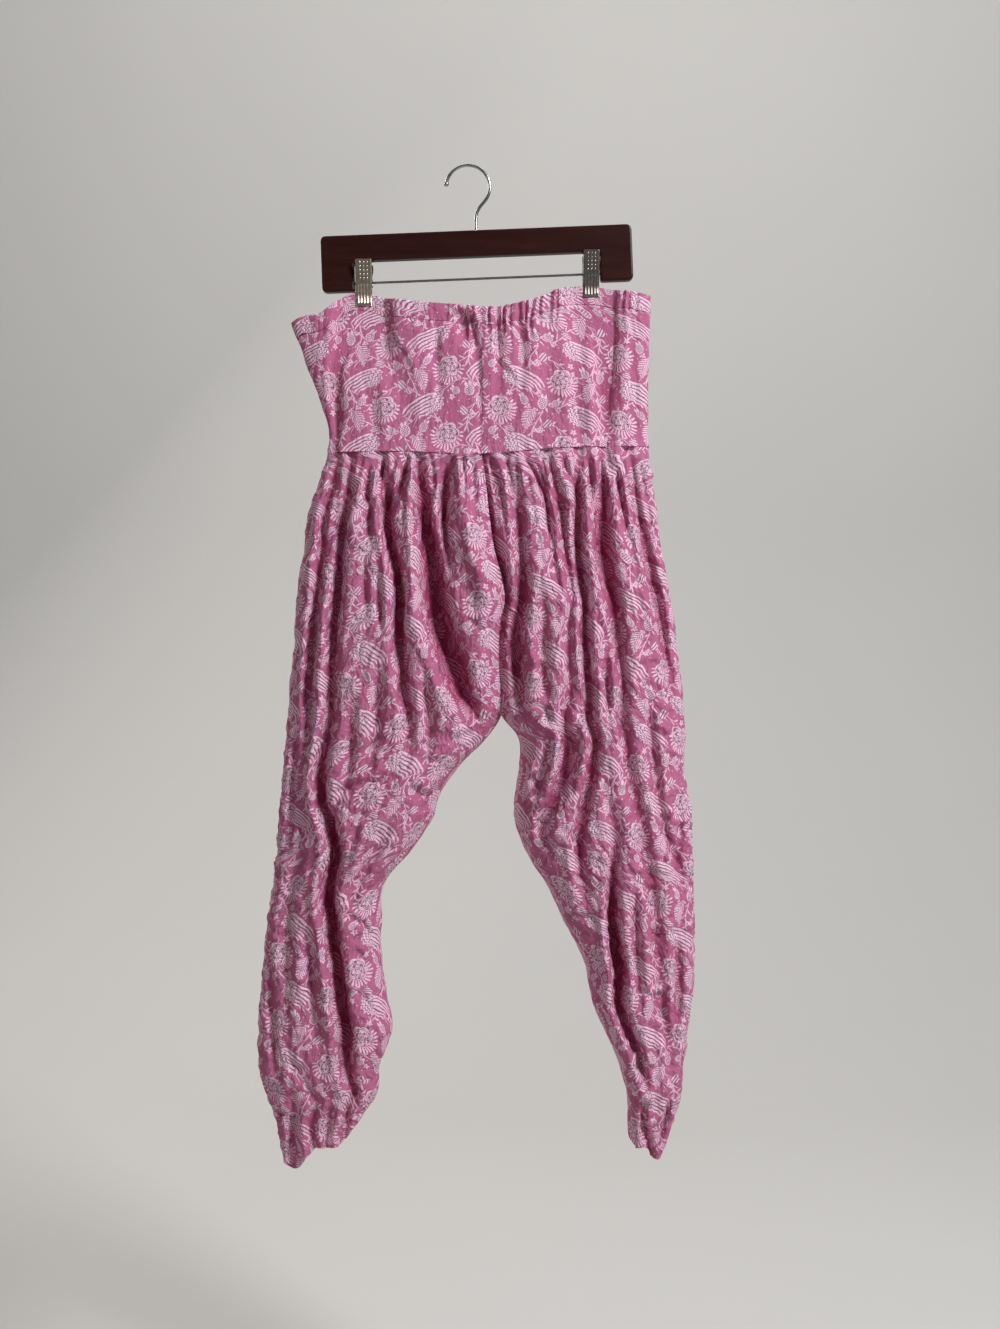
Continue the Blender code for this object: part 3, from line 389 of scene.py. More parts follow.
# x, height of the gathers there
GATHER_HEIGHT = (
    (-204, 0.5), (-150, 0.5), (-60, 0.5), (-20, 1.1), (10, 2.4), (60, 2.1), (110, 1.9), (209, 1.2),
)

# ---- The clips' hold, which presses the cloth flat ----
CLIP_HOLD = (11.0, 42.0)  # distances from a clip's middle where it starts to fade, and where it ends
CLIP_HOLD_DROP = (172.0, 285.0)  # the same down the cloth, as drops

# ---- Small pleats of the legs where they meet the yoke ----
PLEAT_PITCH = 12.0
PLEATED_WIDTH = 170.0  # of the cloth from centre to side
PLEAT_HEIGHT = 3.0
PLEAT_END = 180.0  # how far below the yoke they run at most

# ---- How the fine cloth sharpens the frame's folds ----
# Each is a share of the size in the tables.
FOLD_WIDTH = 0.85
FOLD_DEPTH = 1.35
FOLD_RIM = 0.22  # rise of the cloth along a fold, as a share of its depth
SMALL_DEPTH = 2.0
GROOVE_DEPTH = 1.5  # along the legs' back seam
GROOVE_LEAN = {-1: 0.9, 1: 2.1}  # the left half folds over the right one along the front seam
YOKE_GROOVE = 0.3

# ---- How soon folds fade out towards an edge: over the last 1/14 of the way, and so on ----
EDGE_FADE = 14.0
PLEAT_FADE = 25.0  # for the small pleats, at the centre
CRUMPLE_FADE = 16.0

# ---- How finely the cloth is divided ----
SHARES = 900
LEG_ROW_PITCH = 2.65
LEG_FRONT_COLUMNS, LEG_BACK_COLUMNS = 190, 135
YOKE_ROW_PITCH = 1.7
YOKE_FRONT_COLUMNS, YOKE_BACK_COLUMNS = 150, 120
CASING_ROWS = 12
CASING_FRONT_COLUMNS, CASING_BACK_COLUMNS = 230, 190
SHARPEST = math.radians(68)  # a sharper bend than this is an edge
SAME_PLACE = 1e-6  # metres: nearer points are joined, as along the closed inseams

# ---- Seams, hems and stitching ----
YOKE_HEIGHT = 165.0  # about how tall the cloth between casing and legs is
SEAM_ALLOWANCE = 10.0
TUCK = 6.0  # how far a leg runs up inside the yoke, and the yoke inside the casing
TUCK_DEPTH = 1.5  # how far inside the yoke's cloth the leg's lies there
HEM_THICKNESS, HEM_TURN = 1.3, 9.0  # the turned hem: how far inside it lies, how far up it runs
HEM_STITCH = 8.0  # how far above the ankle's edge its stitching runs
YOKE_STITCH = 2.2  # the same above the yoke's lower edge
CASING_STITCH = 2.4  # the same above the casing's lower edge
CASING_PROUD, CASING_TAPER = 1.2, 0.75  # how far it stands out at its top edge, and how much less below
CASING_THICKNESS = 2.2  # from its outer face to its inner one
NO_STITCH = 99.0  # a distance at which no stitching shows

# ---- Where the pieces lie on the printed cloth, across and down ----
BACK_SHIFT = 260.0  # how far across it the back of a piece is cut
LEG_SHIFT = (20.0, 25.0)
PRINT_SHIFT = {-1: (26.0, 18.0), 1: (44.0, 49.0)}  # for each yoke half
CASING_SHIFT = 140.0


# ------------------------------------------------------------------ the cloth's form

def follow(stations, values, at):
    """A smooth curve through the values at rising stations, held level past both ends."""
    stations = np.asarray(stations, float)
    values = np.asarray(values, float)
    slopes = np.gradient(values, stations)
    low = np.clip(np.searchsorted(stations, at) - 1, 0, len(stations) - 2)
    step = stations[low + 1] - stations[low]
    t = np.clip((at - stations[low]) / step, 0, 1)
    return (
        (1 + 2 * t) * (1 - t) ** 2 * values[low]
        + t * (1 - t) ** 2 * step * slopes[low]
        + t * t * (3 - 2 * t) * values[low + 1]
        + t * t * (t - 1) * step * slopes[low + 1]
    )


def column(table, index):
    return [row[index] for row in table]


def read(table, at, index=1):
    """A column of a table as a smooth curve over the table's first column."""
    return follow(column(table, 0), column(table, index), at)


def smooth_step(low, high, at):
    t = np.clip((at - low) / (high - low), 0, 1)
    return t * t * (3 - 2 * t)


def noise(x, y, seed):
    """Smooth noise from about -1 to 1, with a new value every 1 of x and y."""
    size = 128  # it repeats after this many
    angles = np.random.default_rng(seed).uniform(0, 2 * math.pi, (size, size))
    left, top = np.floor(x).astype(int), np.floor(y).astype(int)
    across, down = x - left, y - top

    def corner(right, low):
        angle = angles[(left + right) % size, (top + low) % size]
        return np.cos(angle) * (across - right) + np.sin(angle) * (down - low)

    ease_x = across**3 * (across * (across * 6 - 15) + 10)
    ease_y = down**3 * (down * (down * 6 - 15) + 10)
    upper = corner(0, 0) + (corner(1, 0) - corner(0, 0)) * ease_x
    lower = corner(0, 1) + (corner(1, 1) - corner(0, 1)) * ease_x
    return 1.6 * (upper + (lower - upper) * ease_y)


def creased(x, y, seed):
    """Noise with sharp creases, from 0 in a crease to about 1."""
    return (noise(x, y, seed) ** 2 + 0.0015) ** 0.42


def held_by_clips(x, drop):
    """1 where a clip's jaws press the cloth flat, falling to 0 away from them."""
    distance = np.min([np.abs(x - clip_x) for _, clip_x in CLIPS], axis=0)
    return (1 - smooth_step(*CLIP_HOLD, distance)) * (1 - smooth_step(*CLIP_HOLD_DROP, drop))


def waist_gathers(x, drop, seed):
    """Small uneven gathers of the waist, none under the jaws, that fade into the yoke."""
    below = drop - read(WAIST_EDGE, x)
    height = read(GATHER_HEIGHT, x)
    uneven = 0.25 + 1.5 * np.abs(noise(x / 15, x * 0 + 0.5, seed))
    length = 0.35 + 0.65 * np.abs(noise(x / 11, x * 0 + 7.5, seed + 1)) * 1.6
    height = height * uneven * (1 - smooth_step(GATHER_FADE[0], GATHER_FADE[1] * length, below))
    phase = 2 * math.pi * (x + 5 * noise(x / 15, below / 60, seed + 2)) / GATHER_PITCH
    return height * np.sin(phase) * (1 - held_by_clips(x, drop))


def seam_pleats(share, drop, seed):
    """Small uneven pleats that start where a leg meets the yoke, and fan out with it."""
    below = drop - SEAM_DROP
    place = share * PLEATED_WIDTH
    run = PLEAT_END * (0.25 + 1.1 * np.abs(noise(place / 23, place * 0 + 3.5, seed)))
    height = PLEAT_HEIGHT * (0.4 + 1.2 * np.abs(noise(place / 19, place * 0 + 9.5, seed + 1)))
    height = height * smooth_step(-2, 10, below) * (1 - smooth_step(0.15, 1.0, below / run))
    phase = 2 * math.pi * (place + 4 * noise(place / 17, below / 120, seed + 2)) / PLEAT_PITCH
    wave = np.sin(phase)
    return height * np.sign(wave) * np.abs(wave) ** 0.8


def crease_depths(creases, x, drop):
    """What crossing creases take from the depth: a trough, and a soft rise along its left."""
    change = np.zeros_like(x)
    for depth, wide, proud, points in creases:
        nearest = np.full_like(x, 1e6)
        side = np.zeros_like(x)
        share = np.zeros_like(x)
        count = len(points) - 1
        for n in range(count):
            ax, ay = points[n]
            bx, by = points[n + 1]
            long2 = (bx - ax) ** 2 + (by - ay) ** 2
            t = np.clip(((x - ax) * (bx - ax) + (drop - ay) * (by - ay)) / long2, 0, 1)
            away = np.hypot(x - ax - t * (bx - ax), drop - ay - t * (by - ay))
            cross = (bx - ax) * (drop - ay) - (by - ay) * (x - ax)
            closer = away < nearest
            nearest = np.where(closer, away, nearest)
            side = np.where(closer, np.sign(cross), side)
            share = np.where(closer, (n + t) / count, share)
        taper = np.sin(math.pi * np.clip(share, 0.04, 0.96)) ** 0.6
        change -= depth * taper * np.exp(-((nearest / wide) ** 2))
        rise = np.exp(-(((nearest + side * 1.7 * wide) / (1.3 * wide)) ** 2))
        change += proud * taper * rise
    return change


class Half:
    """One half of the garment, and the shape of its front and its back."""

    def __init__(self, side, outline, depth, folds, small_folds, creases, seed):
        self.side = side  # -1 for the half on the viewer's left, 1 for the right one
        self.outline = outline
        self.depth = depth
        self.folds = dict(zip(("front", "back"), folds))
        self.small_folds = dict(zip(("front", "back"), small_folds))
        self.creases = dict(zip(("front", "back"), creases))
        self.seed = seed

    def seam_x(self, drop):
        below_crotch = smooth_step(CROTCH_DROP + 5, CROTCH_DROP + 50, drop)
        x = read(self.outline, drop, 2)
        return x - self.side * below_crotch * self.ragged(drop, 1)

    def side_x(self, drop):
        x = read(self.outline, drop)
        return x + self.side * smooth_step(SEAM_DROP + 8, SEAM_DROP + 60, drop) * self.ragged(drop, 2)

    def ragged(self, drop, way):
        """How the outline puckers in and out, down each leg."""
        low = smooth_step(620, 760, drop)
        pucker = (0.5 + 1.4 * low) * creased(drop / 34, drop * 0 + 3.5 * way, self.seed)
        return pucker + (0.2 + 0.3 * low) * noise(drop / 9, drop * 0 + 1.5 * way, self.seed + 1) - 0.5

    def fold_lines(self, face, drop):
        """For each main fold, its share of the way from the centre to the side."""
        lines = [np.zeros_like(drop)]
        for points in self.folds[face]:
            shares = []
            for at, x, _, _ in points:
                seam = self.seam_x(np.array(float(at)))
                shares.append(float((x - seam) / (self.side_x(np.array(float(at))) - seam)))
            line = follow(column(points, 0), shares, drop)
            lines.append(np.clip(line, lines[-1] + 0.02, 0.98))
        return lines[1:]

    def closing(self, drop):
        """0 at the yoke, 1 from the crotch down, where front and back meet at the inseam."""
        return np.clip((drop - SEAM_DROP) / (CROTCH_DROP - SEAM_DROP), 0, 1) ** 2.2

    def rounded(self, share, drop):
        """1 over most of the cloth, falling to 0 at the side and, in a leg, at the inseam."""
        inwards = np.clip((INSEAM_SHARE - share) / INSEAM_SHARE, 0, 1)
        at_side = np.sqrt(np.clip(1 - share**SIDE_ROUNDING, 0, 1))
        return at_side * np.sqrt(np.clip(1 - self.closing(drop) * inwards**2, 0, 1))

    def outer_depth(self, face, share, x, drop):
        """Distance from the plane of the hanger that the cloth would have without folds."""
        full = read(self.depth, drop, 1 if face == "front" else 2)
        return full * self.rounded(share, drop) * (1 - held_by_clips(x, drop))

    def half_depth(self, face, share, x, drop, in_leg):
        """Distance of the cloth from the plane of the hanger."""
        closing = self.closing(drop)
        rounded = self.rounded(share, drop)
        depth = self.outer_depth(face, share, x, drop)
        fade = np.clip((1 - share) * EDGE_FADE, 0, 1)
        fade = fade * (1 - closing * (1 - np.clip(share * EDGE_FADE, 0, 1)))
        seed = self.seed + (0 if face == "front" else 50)
        change = np.zeros_like(x)
        if in_leg:
            change += seam_pleats(share, drop, seed)
            change *= np.clip(share * PLEAT_FADE, 0, 1)
            lean = GROOVE_LEAN[self.side] if face == "front" else GROOVE_DEPTH
        else:
            change += waist_gathers(x, drop, GATHER_SEEDS[face])
            lean = YOKE_GROOVE
        seam = self.seam_x(drop)
        groove = read(SEAM_GROOVE, drop)
        change -= lean * groove * np.exp(-(((x - seam) / SEAM_GROOVE_WIDTH) ** 2))
        for line, points in zip(self.fold_lines(face, drop), self.folds[face]):
            at = seam + line * (self.side_x(drop) - seam)
            deep, wide = read(points, drop, 2), read(points, drop, 3)
            t = (x - at) / (FOLD_WIDTH * wide)
            change -= FOLD_DEPTH * deep * np.exp(-np.abs(t) ** 2.2)
            change += FOLD_RIM * np.maximum(deep, 0) * np.exp(-(((t + 1.75) / 0.6) ** 2))
        for points in self.small_folds[face]:
            at, deep, wide = (read(points, drop, n) for n in (1, 2, 3))
            change -= SMALL_DEPTH * np.maximum(deep, 0) * np.exp(-(((x - at) / wide) ** 2))
        change += crease_depths(self.creases[face], x, drop)
        depth = depth + change * fade
        return np.maximum(depth, LEAST_HALF_DEPTH * np.clip(rounded / 0.3, 0, 1))

    def face_grid(self, face, columns, drops, levels, in_leg):
        """x, depth, drop and distance along the cloth of a grid from centre to side, whose
        columns are evenly spaced over the cloth."""
        even = np.linspace(0, 1, SHARES)
        share = 0.5 * even + 0.5 * (1 - np.cos(math.pi * even)) / 2
        share = np.tile(share, (levels, 1))
        x = 16 + share * self.side * 180  # a first guess, which the rounds below correct
        for _ in range(5):
            drop = drops(x)
            seam = self.seam_x(drop)
            x = seam + share * (self.side_x(drop) - seam)
        depth = self.half_depth(face, share, x, drop, in_leg)
        step = np.hypot(np.diff(x, axis=1), np.diff(depth, axis=1))
        along = np.concatenate([np.zeros((levels, 1)), np.cumsum(step, axis=1)], axis=1)
        found = np.zeros((5, levels, columns + 1))
        for row in range(levels):
            wanted = np.linspace(0, along[row, -1], columns + 1)
            for n, values in enumerate((x, depth, drop, along, share)):
                found[n, row] = np.interp(wanted, along[row], values[row])
        return found

    def ring(self, columns, drops, levels, in_leg):
        """Points [row, column, xyz] from centre front round the side to centre back, with the
        distance along the cloth, the share to the side, the place across the flat cloth, and
        how deep in a fold each point lies."""
        x, depth, drop, along, share = self.face_grid("front", columns[0], drops, levels, in_leg)
        back = self.face_grid("back", columns[1], drops, levels, in_leg)[:, :, -2::-1]
        points = np.concatenate([
            np.stack([x, -depth, -drop], axis=2),
            np.stack([back[0], back[1], -back[2]], axis=2),
        ], axis=1)
        total = back[3, :, :1] + np.hypot(back[0, :, :1] - x[:, -1:], back[1, :, :1])
        around = np.concatenate([along, along[:, -1:] + total - back[3]], axis=1)
        middle = np.zeros((levels, 1))
        back_middle = np.zeros((levels, 1))
        if in_leg:
            for row in range(levels):
                middle[row] = np.interp(0.5, share[row], along[row])
                back_middle[row] = np.interp(0.5, back[4, row, ::-1], back[3, row, ::-1])
        flat = np.concatenate([along - middle, BACK_SHIFT + back_middle - back[3]], axis=1)
        deep = np.concatenate([
            self.outer_depth("front", share, x, drop) - depth,
            self.outer_depth("back", back[4], back[0], back[2]) - back[1],
        ], axis=1)
        return points, around - middle, np.concatenate([share, back[4]], axis=1), flat, deep


def normals_of(points, side):
    """Unit normals of a grid that face out of the garment."""
    across = np.gradient(points, axis=1)
    down = np.gradient(points, axis=0)
    normal = np.cross(across, down) * -side
    return normal / np.maximum(np.linalg.norm(normal, axis=2, keepdims=True), 1e-9)


def crumple(place, drop, seed):
    """The small wrinkles of the washed cotton, in millimetres."""
    low = smooth_step(560, 860, drop)
    upright = 1 - 0.5 * low
    lean = place + 0.25 * drop * np.sin(drop / 130.0)
    relief = 2.0 * creased(place / 30, drop / (78 - 26 * low), seed)
    relief += 2.0 * creased(lean / 15 + 5, drop / (62 - 32 * low), seed + 1)
    relief += 1.3 * upright * creased(place / 7.5, drop / 60, seed + 2)
    relief += (0.35 + 1.35 * low) * creased((place + drop) / 24, (drop - 0.6 * place) / 12, seed + 3)
    relief += 0.6 * noise(place / 8.5, drop / (24 - 13 * low), seed + 4)
    return relief - 1.9


def shown(name, data):
    """A new object in the scene, with that mesh, light or camera."""
    made = bpy.data.objects.new(name, data)
    bpy.context.scene.collection.objects.link(made)
    return made


def grid_object(name, points, place, finish, side, **layers):
    """A mesh object from a grid of points in millimetres. place holds where each is on the flat
    cloth, and each layer a number for each point, which its material may read by name."""
    rows, columns = points.shape[:2]
    numbers = np.arange(rows * columns).reshape(rows, columns)
    corners = [numbers[:-1, :-1], numbers[:-1, 1:], numbers[1:, 1:], numbers[1:, :-1]]
    if side > 0:
        corners.reverse()
    quads = np.stack(corners, axis=-1).reshape(-1, 4)
    mesh = bpy.data.meshes.new(name)
    mesh.vertices.add(rows * columns)
    mesh.vertices.foreach_set("co", (points * MM).astype(np.float32).ravel())
    mesh.loops.add(quads.size)
    mesh.loops.foreach_set("vertex_index", quads.ravel().astype(np.int32))
    mesh.polygons.add(len(quads))
    mesh.polygons.foreach_set("loop_start", np.arange(0, quads.size, 4, dtype=np.int32))
    mesh.update(calc_edges=True)
    flat = mesh.uv_layers.new(name="cloth")
    flat.uv.foreach_set("vector", (place.reshape(-1, 2)[quads.ravel()] * MM).astype(np.float32).ravel())
    for layer, values in layers.items():
        made = mesh.attributes.new(layer, "FLOAT", "POINT")
        made.data.foreach_set("value", values.astype(np.float32).ravel())
    weld = bmesh.new()
    weld.from_mesh(mesh)
    bmesh.ops.remove_doubles(weld, verts=weld.verts, dist=SAME_PLACE)
    weld.to_mesh(mesh)
    weld.free()
    mesh.shade_smooth()
    mesh.set_sharp_from_angle(angle=SHARPEST)
    mesh.materials.append(finish)
    return shown(name, mesh)


def leg_drops(hem, level):
    """The drop of a leg's points from their x, at rows of those levels."""
    near_seam = 1 - smooth_step(SEAM_DROP, SEAM_DROP + SEAM_BLEND, level)
    near_hem = smooth_step(HEM_DROP - HEM_BLEND, HEM_DROP, level)

    def drops(x):
        seam = read(YOKE_SEAM, x)
        edge = read(hem, x)
        return level + (seam - SEAM_DROP) * near_seam + (edge - HEM_DROP) * near_hem

    return drops


def yoke_drops(share):
    def drops(x):
        top = read(WAIST_EDGE, x) + CASING_HEIGHT
        return top + (read(YOKE_SEAM, x) - top) * share

    return drops


def casing_drops(share):
    return lambda x: read(WAIST_EDGE, x) + share * CASING_HEIGHT


def shifted(points, out, up=0.0):
    """The same points, further from the plane of the hanger, and further up."""
    points = points.copy()
    points[:, :, 1] += np.sign(points[:, :, 1]) * out
    points[:, :, 2] += up
    return points


def with_allowances(points, flat, deep):
    """The same grid with the cloth turned in along its first and last columns."""
    ends = []
    for end in (points[:, :1], points[:, -1:]):
        ends.append(shifted(end, -np.minimum(SEAM_ALLOWANCE, 0.6 * np.abs(end[:, :, 1]))))
    flat = np.concatenate([flat[:, :1] - SEAM_ALLOWANCE, flat, flat[:, -1:] + SEAM_ALLOWANCE], axis=1)
    deep = np.concatenate([deep[:, :1], deep, deep[:, -1:]], axis=1)
    return np.concatenate([ends[0], points, ends[1]], axis=1), flat, deep


def build_leg(name, half, hem, finish):
    rows = int((HEM_DROP - SEAM_DROP) / LEG_ROW_PITCH)
    level = np.linspace(SEAM_DROP, HEM_DROP, rows)[:, None]
    columns = (LEG_FRONT_COLUMNS, LEG_BACK_COLUMNS)
    points, around, share, flat, deep = half.ring(columns, leg_drops(hem, level), rows, True)
    drop = -points[:, :, 2]
    ends = np.clip(share * CRUMPLE_FADE, 0, 1)
    relief = crumple(around, drop, half.seed + 100) * ends * smooth_step(0, 24, drop - SEAM_DROP + 4)
    points += normals_of(points, half.side) * relief[:, :, None]
    points, flat, deep = with_allowances(points, flat, deep)
    drop = -points[:, :, 2]
    inside = shifted(points[:1], -TUCK_DEPTH, TUCK)
    hem_fold = shifted(points[-1:], -HEM_THICKNESS, 0.3)
    points = np.concatenate([inside, points, hem_fold, shifted(hem_fold, 0, HEM_TURN)])
    flat = np.concatenate([flat[:1], flat, flat[-1:], flat[-1:]])
    deep = np.concatenate([deep[:1], deep, deep[-1:], deep[-1:]])
    drop = np.concatenate([drop[:1] - TUCK, drop, drop[-1:], drop[-1:] + HEM_TURN])
    from_stitch = np.full((rows + 3, 1), NO_STITCH)
    from_stitch[1:-2] = np.abs(HEM_DROP - level - HEM_STITCH)
    stitch = np.broadcast_to(from_stitch, drop.shape)
    across, down = LEG_SHIFT
    place = np.stack([half.side * (flat + across), drop + down], axis=2)
    return grid_object(name, points, place, finish, half.side, stitch=stitch, deep=deep)


def build_yoke(name, half, finish):
    rows = int(YOKE_HEIGHT / YOKE_ROW_PITCH)
    share_down = np.linspace(-TUCK / YOKE_HEIGHT, 1, rows)[:, None]
    columns = (YOKE_FRONT_COLUMNS, YOKE_BACK_COLUMNS)
    points, around, share, flat, deep = half.ring(columns, yoke_drops(share_down), rows, False)
    drop = -points[:, :, 2]
    ends = np.clip(share * CRUMPLE_FADE, 0, 1) * smooth_step(0, 20, drop - drop[:1])
    relief = 0.55 * crumple(around, drop, half.seed + 200) * ends
    relief *= 1 - held_by_clips(points[:, :, 0], drop)
    points += normals_of(points, half.side) * relief[:, :, None]
    proud = smooth_step(0, 12, drop - drop[:1]) * 0.4 + 0.9 * smooth_step(-10, 0, drop - drop[-1:])
    tucked = 1.3 * (1 - smooth_step(TUCK - 1, TUCK + 0.5, drop - drop[:1]))
    points, flat, deep = with_allowances(shifted(points, proud - tucked), flat, deep)
    drop = -points[:, :, 2]
    stitch = np.abs(drop[-1:] - drop - YOKE_STITCH)
    across, down = PRINT_SHIFT[half.side]
    place = np.stack([flat + across, drop + down], axis=2)
    return grid_object(name, points, place, finish, half.side, stitch=stitch, deep=deep)


def build_casing(name, halves, finish):
    """The doubled strip round the waist: up its outer face, over the top and down inside."""
    share = np.linspace(1.0, 0.04, CASING_ROWS)[:, None]
    height = np.concatenate([share, [[0]], share[-2::-1]]) * CASING_HEIGHT  # below the top edge
    inner = np.repeat([0, 1], CASING_ROWS)[:, None]  # 1 on the inner face
    spread = np.where(inner > 0, -height, height) + CASING_SHIFT
    from_stitch = np.abs(height - CASING_HEIGHT + CASING_STITCH) + inner * NO_STITCH
    columns = (CASING_FRONT_COLUMNS, CASING_BACK_COLUMNS)
    grids = []
    for half in halves:
        points, around, _, _, _ = half.ring(columns, casing_drops(share), CASING_ROWS, False)
        drop = -points[:, :, 2]
        relief = 0.35 * crumple(around, drop, half.seed + 300) * np.clip(share * 1.5, 0, 1)
        relief *= 1 - held_by_clips(points[:, :, 0], drop)
        points += normals_of(points, half.side) * -relief[:, :, None]
        points = shifted(points, CASING_PROUD - CASING_TAPER * share**4)
        over = shifted(points[-1:], -0.8, 0.9)  # the round of its top edge
        inner_face = shifted(points[-2::-1], -CASING_THICKNESS)
        rings = np.concatenate([points, over, inner_face])
        along = np.concatenate([around, around[-1:], around[-2::-1]]) - around[:1, :1]
        flat = [np.broadcast_to(values, along.shape) for values in (spread, from_stitch)]
        grids.append(np.concatenate([rings, np.stack([along, *flat], axis=2)], axis=2))
    grid = np.concatenate([grids[0], grids[1][:, ::-1]], axis=1)
    points, place, stitch = np.split(grid, (3, 5), axis=2)
    return grid_object(name, points, place, finish, 1, stitch=stitch)


# ------------------------------------------------------------------ shader formulas

class Field:
    """A number that changes over a surface, worked out by math nodes."""

    def __init__(self, tree, socket):
        self.tree = tree
        self.socket = socket

    def math(self, operation, *others, clamp=False):
        node = self.tree.nodes.new("ShaderNodeMath")
        node.operation = operation
        node.use_clamp = clamp
        for slot, value in zip(node.inputs, (self, *others)):
            if isinstance(value, Field):
                self.tree.links.new(value.socket, slot)
            else:
                slot.default_value = value
        return Field(self.tree, node.outputs[0])

    def __rsub__(self, other):
        return self.math("MULTIPLY_ADD", -1.0, other)

    __add__ = partialmethod(math, "ADD")
    __sub__ = partialmethod(math, "SUBTRACT")
    __mul__ = partialmethod(math, "MULTIPLY")
    __truediv__ = partialmethod(math, "DIVIDE")
    __abs__ = partialmethod(math, "ABSOLUTE")
    sine = partialmethod(math, "SINE")
    cosine = partialmethod(math, "COSINE")
    fraction = partialmethod(math, "FRACT")
    whole = partialmethod(math, "FLOOR")
    most = partialmethod(math, "MAXIMUM")
    least = partialmethod(math, "MINIMUM")

    def wrapped(self, span):
        return self.math("WRAP", span / 2, -span / 2)

    def where_positive(self, softness):
        """1 where this is above 0, 0 where it is below, over that width."""
        return self.math("MULTIPLY_ADD", 1 / softness, 0.5, clamp=True)


def length(x, y):
    return (x * x + y * y).math("SQRT")


def turned(x, y, degrees):
    """The same place in axes turned by that angle."""
    c, s = math.cos(math.radians(degrees)), math.sin(math.radians(degrees))
    return x * c + y * s, y * c - x * s


# ---- The print, drawn in millimetres of flat cloth ----
TILE_WIDTH, TILE_HEIGHT = 72.0, 76.0
TILE_SLANT = 0.11
TILE_DROP = 76.0  # twice how much lower every second column of tiles is set
EDGE = 0.5  # softness of a printed edge
LINE = 0.14  # softness of a dark line, as a share of the way to the next
HALO = 1.1  # bare ground that each flower keeps round itself where a stem passes


